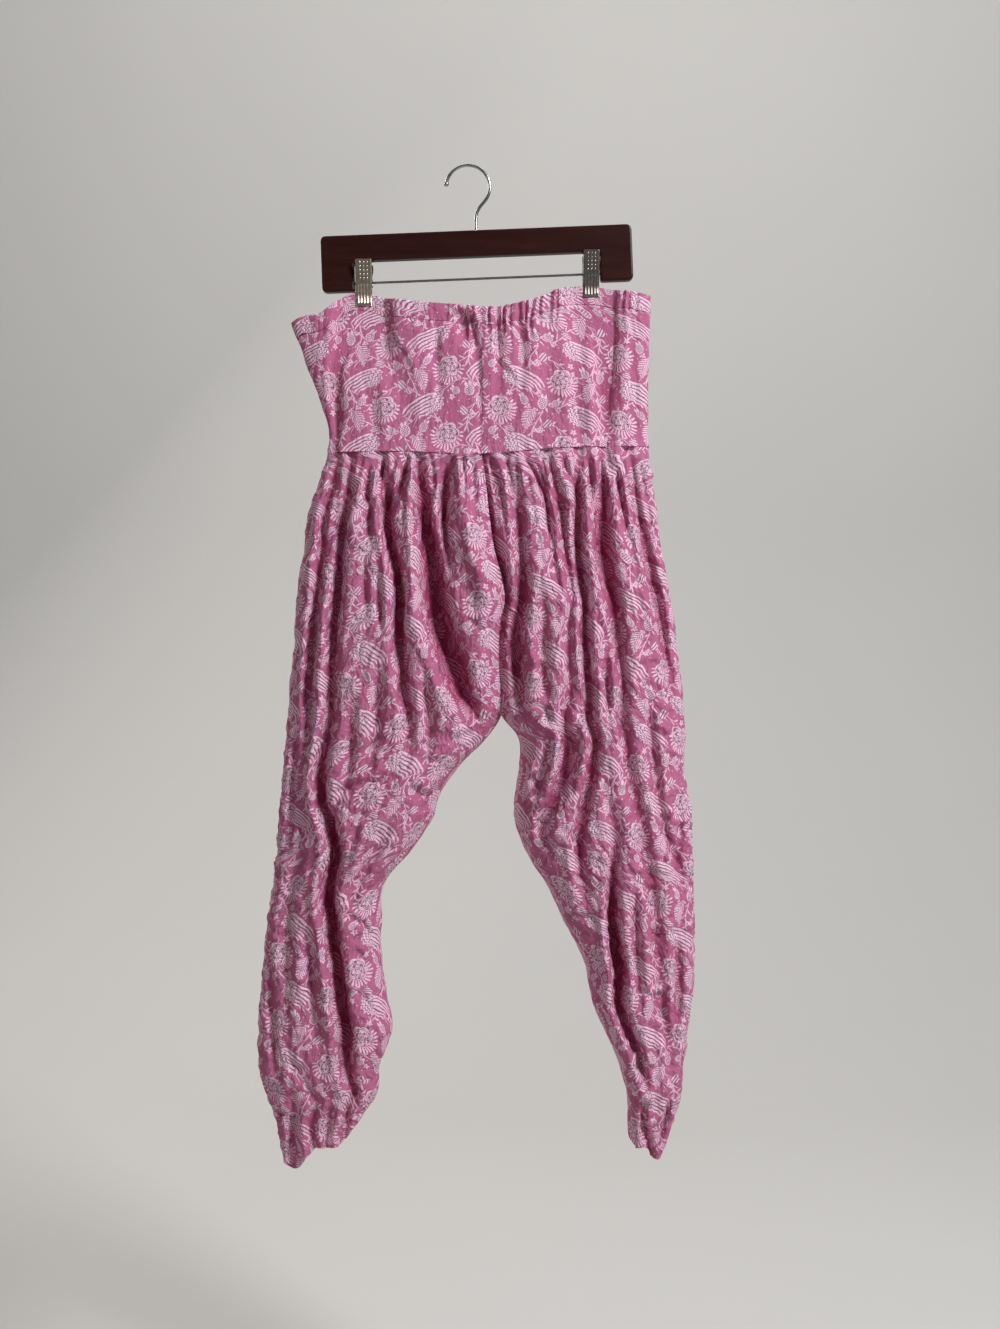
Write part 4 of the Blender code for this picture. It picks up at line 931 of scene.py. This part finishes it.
class Print:
    """Block print of tufted flowers, roses, buds, feathery leaves and vines."""

    def __init__(self, across, down):
        self.across = across
        self.down = down + across * -TILE_SLANT
        self.flowers = None
        self.stems = None
        self.lines = None
        self.bare = None

    def near(self, x, y, degrees, size):
        """Axes about a place in each tile, turned, with y pointing up the cloth. Every second
        column of tiles is set lower."""
        right = (self.across - x).wrapped(TILE_WIDTH)
        odd = (((self.across - x) / TILE_WIDTH + 0.5).whole() * 0.5).fraction()
        up = (self.down - y + odd * TILE_DROP).wrapped(TILE_HEIGHT) * -1
        right, up = turned(right, up, degrees)
        return right / size, up / size

    def plain(self, x, y, width, height):
        """Axes about a place in each tile, all tiles alike."""
        return (self.across - x).wrapped(width), (self.down - y).wrapped(height)

    @staticmethod
    def joined(first, second):
        return second if first is None else first.most(second)

    def flower(self, inside, lines, between=None):
        """Adds a flower or leaf: millimetres inside its edge, its dark lines on the white, and
        those between its petals."""
        white = inside.where_positive(EDGE)
        self.flowers = self.joined(self.flowers, white)
        self.lines = self.joined(self.lines, lines * white)
        if between is not None:
            self.lines = self.lines.most(between)
        self.bare = self.joined(self.bare, inside)

    def stem(self, inside):
        self.stems = self.joined(self.stems, inside)

    def tuft(self, x, y, degrees, size):
        """A flower swept to one side: thin streaming petals that leave a scalloped, netted crown."""
        right, up = self.near(x, y, degrees, size)
        across, along = right + 1, up + 13
        turn = across.math("ARCTAN2", along) * (180 / math.pi)
        reach = length(across, along * 1.06) + (turn * 0.06 + 0.9).sine() * 1.4
        band = (reach - 5) / 3.7
        petal = band.whole()
        within = abs(band.fraction() - 0.5) * 2
        tip = (petal * 2.3 + 0.6).sine() * 10 + 64 - within * within * 30
        start = (reach - 15) * (reach - 15) * 0.26 - 68 + (reach * 1.5).sine() * 5
        outline = ((turn - start).least(tip - turn) * 0.28).least(reach - 5).least(27.2 - reach)
        crown = (-22 - turn + (reach * 0.9).sine() * 8) * 0.25
        white = outline.least(((0.66 - within - turn.most(0) * 0.003) * 1.85).most(crown))
        scale = abs((turn * 0.085 + abs((reach * 0.95).sine()) * 0.55).fraction() - 0.5)
        in_crown = (crown + 0.2).least(outline - 0.6)
        scales = (0.17 - scale).where_positive(LINE) * in_crown.where_positive(EDGE)
        between = (within - 0.8).where_positive(LINE) * (outline - 0.3).where_positive(EDGE)
        between = between * (-0.2 - crown).where_positive(EDGE)
        self.flower(white, scales, between)

    def rose(self, x, y, degrees, size):
        """A round flower: netted petals in scalloped rings, and a fringe of slim ones below."""
        right, up = self.near(x, y, degrees, size)
        away = length(right, up * 1.1)
        turn = right.math("ARCTAN2", up)
        above = turn.cosine()
        lobes = abs((turn * 3.5 + 0.6).cosine())
        closed = above * 2.6 + lobes * 2.2 + 9.0 - away
        fringe = abs((turn * (24 / math.pi / 2) + away * 0.05).fraction() - 0.5)
        slim = ((0.27 - fringe) * 3.4).least(lobes * 1.2 + 15.2 - fringe * fringe * 30 - away)
        slim = slim.least(-0.7 - closed).least((0.5 - above) * 9)
        ring = away / 3.4 - abs((turn * 2.5 + away * 0.55).cosine()) * 0.62
        lines = (0.17 - abs(ring.fraction() - 0.5)).where_positive(LINE)
        lines = lines * (away - 2.0).least(closed - 0.8).where_positive(EDGE)
        net = ((right * 2.6).sine() * (up * 2.6).sine() - 0.3).where_positive(0.3)
        net = net * (closed - 1.5).where_positive(EDGE)
        self.flower(slim.most(closed), lines.most(net * 0.8))

    def bud(self, x, y, degrees, size):
        """A round bud with a netted face and a small crown."""
        right, up = self.near(x, y, degrees, size)
        whole = (1 - length(right / 5.6, up / 6.8)) * 5.6
        crown = 2.1 - abs(abs(right) - 2.3) - abs(up - 8.2) * 0.55
        net = ((right * 2.1).sine() * (up * 2.0).sine() - 0.05).where_positive(0.35)
        net = net * (whole - 0.9).where_positive(0.5)
        self.flower(whole.most(crown), net)

    def tulip(self, x, y, degrees, size):
        """A slim pointed bud with lines along it."""
        right, up = self.near(x, y, degrees, size)
        whole = 3.7 - up * up * 0.085 - abs(right + up * up * 0.03)
        lines = (0.2 - abs((right / 2.5).fraction() - 0.5)).where_positive(LINE)
        self.flower(whole, lines)

    def leaf(self, x, y, degrees, size):
        """A curved feathery leaf: open strokes on both sides of a bent rib."""
        right, up = self.near(x, y, degrees, size)
        up = up + right * right * 0.02 - 2
        wide = (right * right * -0.03 + 6.6) + (right * 1.6).sine() * 0.7
        vein = abs(((right + abs(up) * 0.9) / 3.1).fraction() - 0.5)
        strokes = (0.3 - vein) * 3.1
        rib = 0.8 - abs(up)
        whole = (wide - abs(up)).least(strokes.most(rib))
        self.flower(whole, (0.3 - abs(up)).where_positive(0.3))

    def floret(self, x, y, width, height):
        """A small five-petalled flower, repeated in a finer tile."""
        right, up = self.plain(x, y, width, height)
        away = length(right, up)
        turn = right.math("ARCTAN2", up)
        self.stem(((turn * 5).cosine() * 1.1 + 2.9 - away).least(away - 0.8))

    def vine(self, leaf_pitch, along, away):
        """A thin stem, where away is 0, with small leaves on short stalks, on alternate sides."""
        self.stem(0.62 - abs(away))
        place = along.wrapped(leaf_pitch)
        other = (along + leaf_pitch / 2).wrapped(leaf_pitch)
        for side, at in ((1, place), (-1, other)):
            sideways = away * side - 3.4
            lean = at - sideways * 0.9
            self.stem((1 - length(lean / 1.25, sideways / 2.3)) * 1.6)
            self.stem((0.45 - abs(lean)).least(3.4 - abs(sideways)))

    def dots(self, x, y, width, height, radius):
        right, up = self.plain(x, y, width, height)
        self.stem(radius - length(right, up))

    def drawn(self):
        """How much white and how much dark line shows at each place."""
        stems = self.stems.where_positive(EDGE) * (-HALO - self.bare).where_positive(0.4)
        return self.flowers.most(stems * 0.92), self.lines


def draw_print(across, down):
    cloth = Print(across, down)
    cloth.tuft(20, 20, -14, 1.16)
    cloth.rose(66, 17, 20, 1.2)
    cloth.bud(41, 44, -14, 0.95)
    cloth.bud(56, 43, -50, 0.7)
    cloth.leaf(26, 63, 62, 1.05)
    cloth.tulip(47, 67, -42, 1.1)
    cloth.bud(20, 43, 28, 0.8)
    cloth.tulip(4, 76, 80, 0.95)
    turns = 2 * math.pi
    sway = (cloth.down * (turns / TILE_HEIGHT) + 1.1).sine() * 7
    cloth.vine(TILE_HEIGHT / 6, cloth.down, (cloth.across - 36 - sway).wrapped(TILE_WIDTH))
    swing = (cloth.across * (turns / TILE_WIDTH) + 0.4).sine() * 9
    cloth.vine(TILE_WIDTH / 6, cloth.across, (cloth.down - 39 - swing).wrapped(TILE_HEIGHT))
    twist = (cloth.across * (turns / TILE_WIDTH) + 3.0).sine() * 10
    cloth.vine(TILE_WIDTH / 5, cloth.across, (cloth.down - 76 - twist).wrapped(TILE_HEIGHT))
    cloth.floret(4, 36, TILE_WIDTH / 2, TILE_HEIGHT / 2)
    cloth.floret(24, 12, TILE_WIDTH / 2, TILE_HEIGHT / 2)
    cloth.dots(5, 4, TILE_WIDTH / 6, TILE_HEIGHT / 6, 0.7)
    return cloth.drawn()


def node_tree(name):
    finish = bpy.data.materials.new(name)
    finish.use_nodes = True
    tree = finish.node_tree
    return finish, tree, tree.nodes["Principled BSDF"]


def add_node(tree, kind, **settings):
    node = tree.nodes.new(kind)
    for key, value in settings.items():
        setattr(node, key, value)
    return node


def mix_colours(tree, share, first, second, blend="MIX"):
    """first where share is 0 and second where it is 1, as colours or colour sockets."""
    node = add_node(tree, "ShaderNodeMix", data_type="RGBA", blend_type=blend)
    for slot, value in zip((node.inputs[0], node.inputs[6], node.inputs[7]), (share, first, second)):
        if isinstance(value, Field):
            value = value.socket
        if isinstance(value, bpy.types.NodeSocket):
            tree.links.new(value, slot)
        elif isinstance(value, tuple):
            slot.default_value = (*value, 1.0)
        else:
            slot.default_value = value
    return node.outputs[2]


def set_values(node, values):
    for name, value in values.items():
        node.inputs[name].default_value = value


def noise_field(tree, vector, scale, detail=2.0, roughness=0.5):
    node = add_node(tree, "ShaderNodeTexNoise")
    set_values(node, {"Scale": scale, "Detail": detail, "Roughness": roughness})
    tree.links.new(vector, node.inputs["Vector"])
    return Field(tree, node.outputs["Fac"])


def combined(tree, x, y):
    node = add_node(tree, "ShaderNodeCombineXYZ")
    tree.links.new(x.socket, node.inputs[0])
    tree.links.new(y.socket, node.inputs[1])
    return node.outputs[0]


def bump(tree, height, distance, strength, under=None):
    node = add_node(tree, "ShaderNodeBump")
    set_values(node, {"Distance": distance, "Strength": strength})
    tree.links.new(height.socket, node.inputs["Height"])
    if under is not None:
        tree.links.new(under, node.inputs["Normal"])
    return node.outputs["Normal"]


def object_places(tree, stretch):
    """Places in the object's own axes: as they are, and with each axis scaled."""
    place = add_node(tree, "ShaderNodeTexCoord").outputs["Object"]
    mapping = add_node(tree, "ShaderNodeMapping")
    mapping.inputs["Scale"].default_value = stretch
    tree.links.new(place, mapping.inputs["Vector"])
    return place, mapping.outputs[0]


GROUND = (0.51, 0.135, 0.265)
GROUND_FADED = (0.57, 0.185, 0.33)
MOTIF_WHITE = (0.93, 0.67, 0.82)
PAINTED_FOLD_SHADE = (0.60, 0.20, 0.34)  # painted shade and painted bounced light of a deep fold: a darker, redder tint multiplied into the cloth's colour
MOTIF_LINE = (0.23, 0.065, 0.12)
THREAD = (0.66, 0.26, 0.44)
THREAD_GAPS = (0.36, 0.06, 0.16)  # ground seen between the threads of the weave
THROUGH = (0.62, 0.05, 0.20)  # light that comes through the cloth
STITCH_PITCH = 2.6


def printed_cotton(name):
    """Thin crinkled cotton: plain weave, pink ground, white block print with dark lines, and painted shade
    in its deep folds.
    """
    finish, tree, shader = node_tree(name)
    flat = add_node(tree, "ShaderNodeUVMap", uv_map="cloth")
    parts = add_node(tree, "ShaderNodeSeparateXYZ")
    tree.links.new(flat.outputs[0], parts.inputs[0])
    across = Field(tree, parts.outputs[0]) * 1000
    down = Field(tree, parts.outputs[1]) * 1000
    flat_mm = combined(tree, across, down)

    wobble = noise_field(tree, flat_mm, 0.09)
    white, dark = draw_print(across + (wobble - 0.5) * 3, down + (wobble - 0.5) * -3)
    ink = noise_field(tree, flat_mm, 1.1, 2.0, 0.7)
    white = white * ((ink - 0.5) * 0.9 + 0.93)
    washed = noise_field(tree, flat_mm, 0.012, 1.0)
    threads = noise_field(tree, combined(tree, across * 2.2, down * 0.25), 1.0, 1.0)

    ground = mix_colours(tree, washed, GROUND, GROUND_FADED)
    ground = mix_colours(tree, threads * 0.22, ground, THREAD_GAPS)
    inked = mix_colours(tree, white, ground, MOTIF_WHITE)
    inked = mix_colours(tree, dark * 0.9, inked, MOTIF_LINE)

    seam = add_node(tree, "ShaderNodeAttribute", attribute_name="stitch")
    away = Field(tree, seam.outputs["Fac"])
    row = (0.42 - away).where_positive(0.25)
    stitches = row * ((across / STITCH_PITCH).fraction() - 0.3).where_positive(0.12)
    colour = mix_colours(tree, stitches, inked, THREAD)
    # Painted shade: the colour is darkened and reddened where the cloth lies more than 5 mm deep in a fold.
    deep = Field(tree, add_node(tree, "ShaderNodeAttribute", attribute_name="deep").outputs["Fac"])
    painted_fold_shade = ((deep - 5) * (1 / 19)).least(0.9).most(0)
    colour = mix_colours(tree, painted_fold_shade, colour, PAINTED_FOLD_SHADE, blend="MULTIPLY")
    tree.links.new(colour, shader.inputs["Base Color"])

    crease = abs(noise_field(tree, combined(tree, across * 0.075, down * 0.032), 1.0, 2.0) - 0.5)
    crossing = abs(noise_field(tree, combined(tree, across * 0.03 + 9, down * 0.06), 1.0, 2.0) - 0.5)
    crinkle = noise_field(tree, combined(tree, across * 0.36, down * 0.14), 1.0, 3.0, 0.62)
    fine = noise_field(tree, flat_mm, 0.42, 2.0, 0.6)
    weave = (across * 13.0).sine() * 0.5 + (down * 13.0).sine() * 0.5
    below_yoke = ((down - 340) * (1 / 60)).least(1).most(0)
    normal = bump(tree, (crease + crossing * 0.7) * (below_yoke * 0.75 + 0.25), 0.014, 0.7)
    normal = bump(tree, crinkle, 0.0016, 0.85, normal)
    normal = bump(tree, fine, 0.0007, 0.6, normal)
    normal = bump(tree, weave + row * -2 + stitches * 3, 0.00005, 0.5, normal)
    tree.links.new(normal, shader.inputs["Normal"])
    set_values(shader, {"Roughness": 0.86, "Specular IOR Level": 0.25})

    glow = add_node(tree, "ShaderNodeBsdfTranslucent")
    tree.links.new(mix_colours(tree, 0.45, colour, THROUGH), glow.inputs["Color"])
    tree.links.new(normal, glow.inputs["Normal"])
    both = add_node(tree, "ShaderNodeMixShader")
    both.inputs[0].default_value = 0.16
    tree.links.new(shader.outputs[0], both.inputs[1])
    tree.links.new(glow.outputs[0], both.inputs[2])
    tree.links.new(both.outputs[0], tree.nodes["Material Output"].inputs["Surface"])
    return finish


def mahogany(name):
    """Dark red-brown stained wood with fine long grain, under satin lacquer."""
    finish, tree, shader = node_tree(name)
    place, stretched = object_places(tree, (9, 120, 120))
    grain = noise_field(tree, stretched, 1.0, 5.0, 0.65)
    fibres = noise_field(tree, stretched, 6.0, 3.0, 0.6)
    patches = noise_field(tree, place, 14.0, 2.0)
    colour = mix_colours(tree, grain, (0.0040, 0.0012, 0.0010), (0.052, 0.0080, 0.0050))
    colour = mix_colours(tree, patches * 0.5, colour, (0.022, 0.005, 0.004))
    colour = mix_colours(tree, (fibres - 0.58).where_positive(0.3) * 0.5, colour, (0.006, 0.002, 0.002))
    tree.links.new(colour, shader.inputs["Base Color"])
    normal = bump(tree, fibres, 0.0002, 0.35)
    tree.links.new(normal, shader.inputs["Normal"])
    tree.links.new((grain * 0.2 + 0.3).socket, shader.inputs["Roughness"])
    set_values(shader, {"Specular IOR Level": 0.16, "Coat Weight": 0.07, "Coat Roughness": 0.25})
    return finish


def plated(name, colour, dull, roughness):
    """Plated steel with fine brush lines, dulled in places."""
    finish, tree, shader = node_tree(name)
    place, stretched = object_places(tree, (60, 60, 900))
    lines = noise_field(tree, stretched, 8.0, 2.0)
    tarnish = noise_field(tree, place, 260.0, 4.0, 0.7)
    tint = mix_colours(tree, (tarnish - 0.52).where_positive(0.35), colour, dull)
    tree.links.new(tint, shader.inputs["Base Color"])
    tree.links.new((tarnish * 0.25 + roughness).socket, shader.inputs["Roughness"])
    tree.links.new(bump(tree, lines, 0.00006, 0.4), shader.inputs["Normal"])
    shader.inputs["Metallic"].default_value = 1.0
    return finish


# ------------------------------------------------------------------ the hanger

HANGER_TILT = math.radians(2.3)
HANGER_CENTRE = (10.0, 105.5)
WOOD_HEIGHT = 64.0
BAR_ABOVE_FOOT = 9.5
JAW_BELOW_BAR = 27.0
JAW_WIDTH = 18.6
JAW_HEIGHT = 51.0
JAW_CLEARANCE = 1.4  # the cloth's thickness under a jaw
# height above the jaw's lower end, distance of its outer face from the cloth's middle, flange
JAW_PROFILE = (
    (0.0, 1.1, 0.2), (2.0, 1.1, 0.9), (13.0, 1.1, 0.9), (19.0, 3.3, 3.0), (28.0, 5.7, 4.6),
    (40.0, 8.3, 4.6), (47.0, 9.9, 3.8), (51.0, 10.7, 2.2),
)
JAW_CORNER = 1.3
JAW_ROWS, JAW_COLUMNS, CORNER_COLUMNS = 110, 56, 5
SHEET_THICKNESS = 0.75
BUMP_PITCH = (4.1, 4.3)  # across and up
RIB_PITCH = 3.5
HOOK_WIRE = 1.8
HOOK_ARC_RADIUS = 25.0
HOOK_ARC_FROM, HOOK_ARC_TO = 172.0, -38.0
# drop, x of the wire's middle
HOOK_STEM = ((46.5, 13.2), (52.5, 10.2), (60.0, 9.0), (70.0, 9.0), (84.0, 9.0))
HOOK_BALL = 2.9
COIL_RADIUS, COIL_WIRE, COIL_TURNS, COIL_LENGTH = 2.75, 0.5, 9, 11.0
TURN_POINTS = 18  # points of a coil for each turn


def on_hanger(x, up):
    """x and height of a point given in the level hanger's own axes about its middle."""
    level, rise = math.cos(HANGER_TILT), math.sin(HANGER_TILT)
    return HANGER_CENTRE[0] + x * level - up * rise, -HANGER_CENTRE[1] + x * rise + up * level


def jaw_relief(across, up):
    """Pressed pattern of a jaw: bumps on the lever above, upright ribs on the grip below."""
    bumps = 1
    for place, pitch in zip((across, up), BUMP_PITCH):
        bumps = bumps * np.clip(np.cos(place * 2 * math.pi / pitch), 0, 1)
    bumps *= smooth_step(27, 29, up) * (1 - smooth_step(47.5, 49, up)) * (np.abs(across) < 7.2)
    ribs = np.cos(across * 2 * math.pi / RIB_PITCH) * smooth_step(2.5, 4, up) * (1 - smooth_step(22, 25, up))
    ribs *= 1 - smooth_step(6.2, 7.6, np.abs(across))
    return 0.75 * bumps + 0.42 * ribs


def build_jaw(name, clip_x, bar_up, face, finish):
    """One jaw of pressed sheet with a flange folded back along each side."""
    up = np.linspace(0, JAW_HEIGHT, JAW_ROWS)[:, None]
    out = read(JAW_PROFILE, up)
    flange = read(JAW_PROFILE, up, 2)
    half = JAW_WIDTH / 2
    flat = half - JAW_CORNER
    across = np.linspace(-flat, flat, JAW_COLUMNS)
    turn = np.linspace(0, math.pi / 2, CORNER_COLUMNS + 1)[1:]
    side_x = flat + JAW_CORNER * np.sin(turn)
    side_in = JAW_CORNER * (1 - np.cos(turn))
    lip_x, lip_in = np.full(2, half), np.array([0.5, 1.0])
    section_x = np.concatenate([-lip_x, -side_x[::-1], across, side_x, lip_x])
    section_in = np.pad(np.concatenate([side_in[::-1], np.zeros(JAW_COLUMNS), side_in]), 2)
    lip = np.concatenate([lip_in[::-1], np.zeros(JAW_COLUMNS + 2 * CORNER_COLUMNS), lip_in])
    inwards = np.minimum(section_in, flange) + lip * np.maximum(flange - JAW_CORNER, 0)
    inwards = inwards + (lip > 0) * np.minimum(JAW_CORNER, flange)
    depth = LEAST_HALF_DEPTH + JAW_CLEARANCE + out - inwards + jaw_relief(section_x, up)
    x = np.broadcast_to(section_x, depth.shape)
    height = np.broadcast_to(bar_up - JAW_BELOW_BAR + up, depth.shape)
    points = np.stack([clip_x + x, face * depth, height], axis=2)
    made = grid_object(name, points, np.stack([x, height], axis=2), finish, face)
    thick = made.modifiers.new("sheet", "SOLIDIFY")
    thick.thickness = SHEET_THICKNESS * MM
    thick.offset = -1
    return made


def tube_object(name, path, radii, finish, sides=16):
    """A round wire along a path in the frame's millimetres, closed at both ends."""
    path = np.asarray(path, float)
    along = np.gradient(path, axis=0)
    along /= np.linalg.norm(along, axis=1)[:, None]
    side = np.array((0.0, 1.0, 0.0))
    points = []
    for place, direction, radius in zip(path, along, radii):
        side = side - direction * side.dot(direction)
        side /= np.linalg.norm(side)
        other = np.cross(direction, side)
        angles = np.arange(sides) * 2 * math.pi / sides
        around = np.cos(angles)[:, None] * other + np.sin(angles)[:, None] * side
        points.append(place + radius * around)
    points = np.array(points)
    count = len(points)
    faces = [list(range(sides))[::-1], list(range((count - 1) * sides, count * sides))]
    for row in range(count - 1):
        here, beyond = row * sides, (row + 1) * sides
        for n in range(sides):
            after = (n + 1) % sides
            faces.append([here + n, here + after, beyond + after, beyond + n])
    mesh = bpy.data.meshes.new(name)
    mesh.from_pydata((points.reshape(-1, 3) * MM).tolist(), [], faces)
    mesh.shade_smooth()
    mesh.materials.append(finish)
    return shown(name, mesh)


def build_hook(finish):
    path = []
    for degrees in np.linspace(HOOK_ARC_FROM, HOOK_ARC_TO, 60):
        angle = math.radians(degrees)
        path.append((
            HOOK_ARC_RADIUS * math.cos(angle), 0,
            HOOK_ARC_RADIUS * math.sin(angle) - HOOK_ARC_RADIUS + HOOK_WIRE,
        ))
    drops = np.linspace(HOOK_STEM[0][0], HOOK_STEM[-1][0], 16)
    path += [(float(read(HOOK_STEM, d)), 0, -d) for d in drops]
    tip = np.array(path[0])
    outwards = tip - np.array(path[1])
    outwards /= np.linalg.norm(outwards)
    ball, radii = [], []
    for degrees in np.linspace(6, 140, 12):
        angle = math.radians(degrees)
        ball.append(tip + outwards * HOOK_BALL * math.cos(angle))
        radii.append(HOOK_BALL * math.sin(angle))
    path = [*ball, *[np.array(p) for p in path[1:]]]
    radii += [HOOK_WIRE] * (len(path) - len(radii))
    return tube_object("hook", path, radii, finish)


def build_spring(name, bar, finish):
    path = []
    steps = COIL_TURNS * TURN_POINTS
    for n in range(steps + 1):
        angle = n * 2 * math.pi / TURN_POINTS
        along = COIL_LENGTH * (n / steps - 0.5)
        path.append((
            bar[0] + along * math.cos(HANGER_TILT),
            COIL_RADIUS * math.cos(angle),
            bar[1] + COIL_RADIUS * math.sin(angle) + along * math.sin(HANGER_TILT),
        ))
    return tube_object(name, path, [COIL_WIRE] * len(path), finish, sides=8)


# ------------------------------------------------------------------ the room

def area_light(name, place, target, size, power, colour):
    lamp = bpy.data.lights.new(name, "AREA")
    lamp.shape = "RECTANGLE"
    lamp.size, lamp.size_y = size
    lamp.energy = power
    lamp.color = colour
    made = shown(name, lamp)
    made.location = place
    x, y, z = np.array(target) - np.array(place)
    made.rotation_euler = (math.pi / 2 + math.atan2(z, math.hypot(x, y)), 0, math.atan2(-x, y))


def build_room():
    finish, tree, shader = node_tree("pale_floor")
    place = add_node(tree, "ShaderNodeTexCoord")
    patches = noise_field(tree, place.outputs["Object"], 0.8, 3.0)
    colour = mix_colours(tree, patches, (0.555, 0.545, 0.53), (0.595, 0.585, 0.57))
    tree.links.new(colour, shader.inputs["Base Color"])
    set_values(shader, {"Roughness": 0.9, "Specular IOR Level": 0.1})
    floor_z, wall_y, bend, bend_steps = -1.62, 3.2, 1.6, 24
    section = [(-7.0, floor_z), (-2.0, floor_z), (wall_y - bend, floor_z)]
    for n in range(1, bend_steps + 1):
        angle = math.pi / 2 * n / bend_steps
        section.append((wall_y - bend + bend * math.sin(angle), floor_z + bend * (1 - math.cos(angle))))
    section.append((wall_y, 4.5))
    points = [(x, y, z) for y, z in section for x in (-8.0, 8.0)]
    faces = [(2 * n, 2 * n + 1, 2 * n + 3, 2 * n + 2) for n in range(len(section) - 1)]
    mesh = bpy.data.meshes.new("floor")
    mesh.from_pydata(points, [], faces)
    mesh.shade_smooth()
    mesh.materials.append(finish)
    floor = shown("floor", mesh)

    world = bpy.data.worlds.new("studio")
    world.use_nodes = True
    set_values(world.node_tree.nodes["Background"], {"Color": (0.80, 0.80, 0.82, 1), "Strength": 0.15})
    bpy.context.scene.world = world
    area_light("key", (2.1, -2.0, 1.4), (0.0, 0, -0.5), (0.8, 1.2), 134, (0.97, 0.985, 1.0))
    area_light("fill", (-2.8, -2.2, 0.3), (0, 0, -0.6), (1.4, 1.4), 7, (1.0, 0.86, 0.74))
    area_light("backdrop", (0.2, 0.6, 3.2), (0.0, 3.2, 0.3), (4.5, 1.0), 78, (1.0, 0.98, 0.95))
    area_light("back", (-1.8, 2.0, 1.0), (0, 0, -0.6), (1.2, 1.2), 34, (1.0, 0.97, 0.93))


def build_camera():
    """The camera looks level along +Y at the middle of the framed field."""
    lens = bpy.data.cameras.new("camera")
    camera = shown("camera", lens)
    distance, field_height = 1.6, 1.5196
    centre_x, centre_z = 0.0366, -0.569
    lens.lens = lens.sensor_width * distance / field_height
    lens.clip_end = 50
    camera.location = (centre_x, -distance, centre_z)
    camera.rotation_euler = (math.pi / 2, 0, 0)
    bpy.context.scene.camera = camera


# ------------------------------------------------------------------ everything

def place_piece(piece, slot, *nodes):
    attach(piece, "root")
    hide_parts(*nodes)


def build_garment():
    cotton = printed_cotton("printed_cotton")
    yokes = (
        Half(-1, LEFT_OUTLINE, LEFT_DEPTH, (YOKE_LEFT_FRONT, YOKE_LEFT_BACK),
             (SMALL_YOKE_LEFT_FRONT, SMALL_YOKE_LEFT_BACK), (CREASES_YOKE_LEFT_FRONT, ()), 11),
        Half(1, RIGHT_OUTLINE, RIGHT_DEPTH, (YOKE_RIGHT_FRONT, YOKE_RIGHT_BACK),
             (SMALL_YOKE_RIGHT_FRONT, SMALL_YOKE_RIGHT_BACK), (CREASES_YOKE_RIGHT_FRONT, ()), 12),
    )
    legs = (
        Half(-1, LEFT_OUTLINE, LEFT_DEPTH, (LEG_LEFT_FRONT, LEG_LEFT_BACK),
             (SMALL_LEFT_FRONT, SMALL_LEFT_BACK), (CREASES_LEFT_FRONT, CREASES_LEFT_BACK), 21),
        Half(1, RIGHT_OUTLINE, RIGHT_DEPTH, (LEG_RIGHT_FRONT, LEG_RIGHT_BACK),
             (SMALL_RIGHT_FRONT, SMALL_RIGHT_BACK), (CREASES_RIGHT_FRONT, CREASES_RIGHT_BACK), 22),
    )
    casing = build_casing("casing", yokes, cotton)
    place_piece(casing, "casing_cotton", "waist_casing")
    for name, yoke, leg, hem in zip(("left", "right"), yokes, legs, (LEFT_HEM, RIGHT_HEM)):
        piece = build_yoke(f"{name}_yoke", yoke, cotton)
        place_piece(piece, "printed_cotton", f"yoke_{name}")
        piece = build_leg(f"{name}_leg", leg, hem, cotton)
        place_piece(piece, "printed_cotton", f"leg_{name}")


def build_hanger():
    wood = mahogany("mahogany")
    chrome = plated("chromed_wire", (0.50, 0.50, 0.51), (0.30, 0.30, 0.30), 0.10)
    steel = plated("bar_steel", (0.34, 0.33, 0.33), (0.2, 0.19, 0.18), 0.25)
    nickels = {
        "left": plated("nickel_warm", (0.56, 0.50, 0.41), (0.28, 0.23, 0.17), 0.24),
        "right": plated("nickel_grey", (0.30, 0.27, 0.25), (0.13, 0.11, 0.10), 0.24),
    }
    for node, finish in (("hanger_wood", wood), ("hanger_bar", steel)):
        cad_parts[node].data.materials.clear()
        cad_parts[node].data.materials.append(finish)
    place_piece(build_hook(chrome), "chromed_wire", "hanger_hook")
    up = BAR_ABOVE_FOOT - WOOD_HEIGHT / 2
    for side, clip_x in CLIPS:
        bar = on_hanger((clip_x - HANGER_CENTRE[0]) / math.cos(HANGER_TILT), up)
        for face_name, face in (("front", -1), ("back", 1)):
            jaw = build_jaw(f"{side}_jaw_{face_name}", clip_x, bar[1], face, nickels[side])
            place_piece(jaw, "nickel", f"clip_{side}_{face_name}")
        spring = build_spring(f"{side}_spring", bar, nickels[side])
        place_piece(spring, "nickel", f"clip_{side}_spring")


bpy.context.scene.view_settings.view_transform = "Standard"
build_garment()
build_hanger()
build_room()
build_camera()
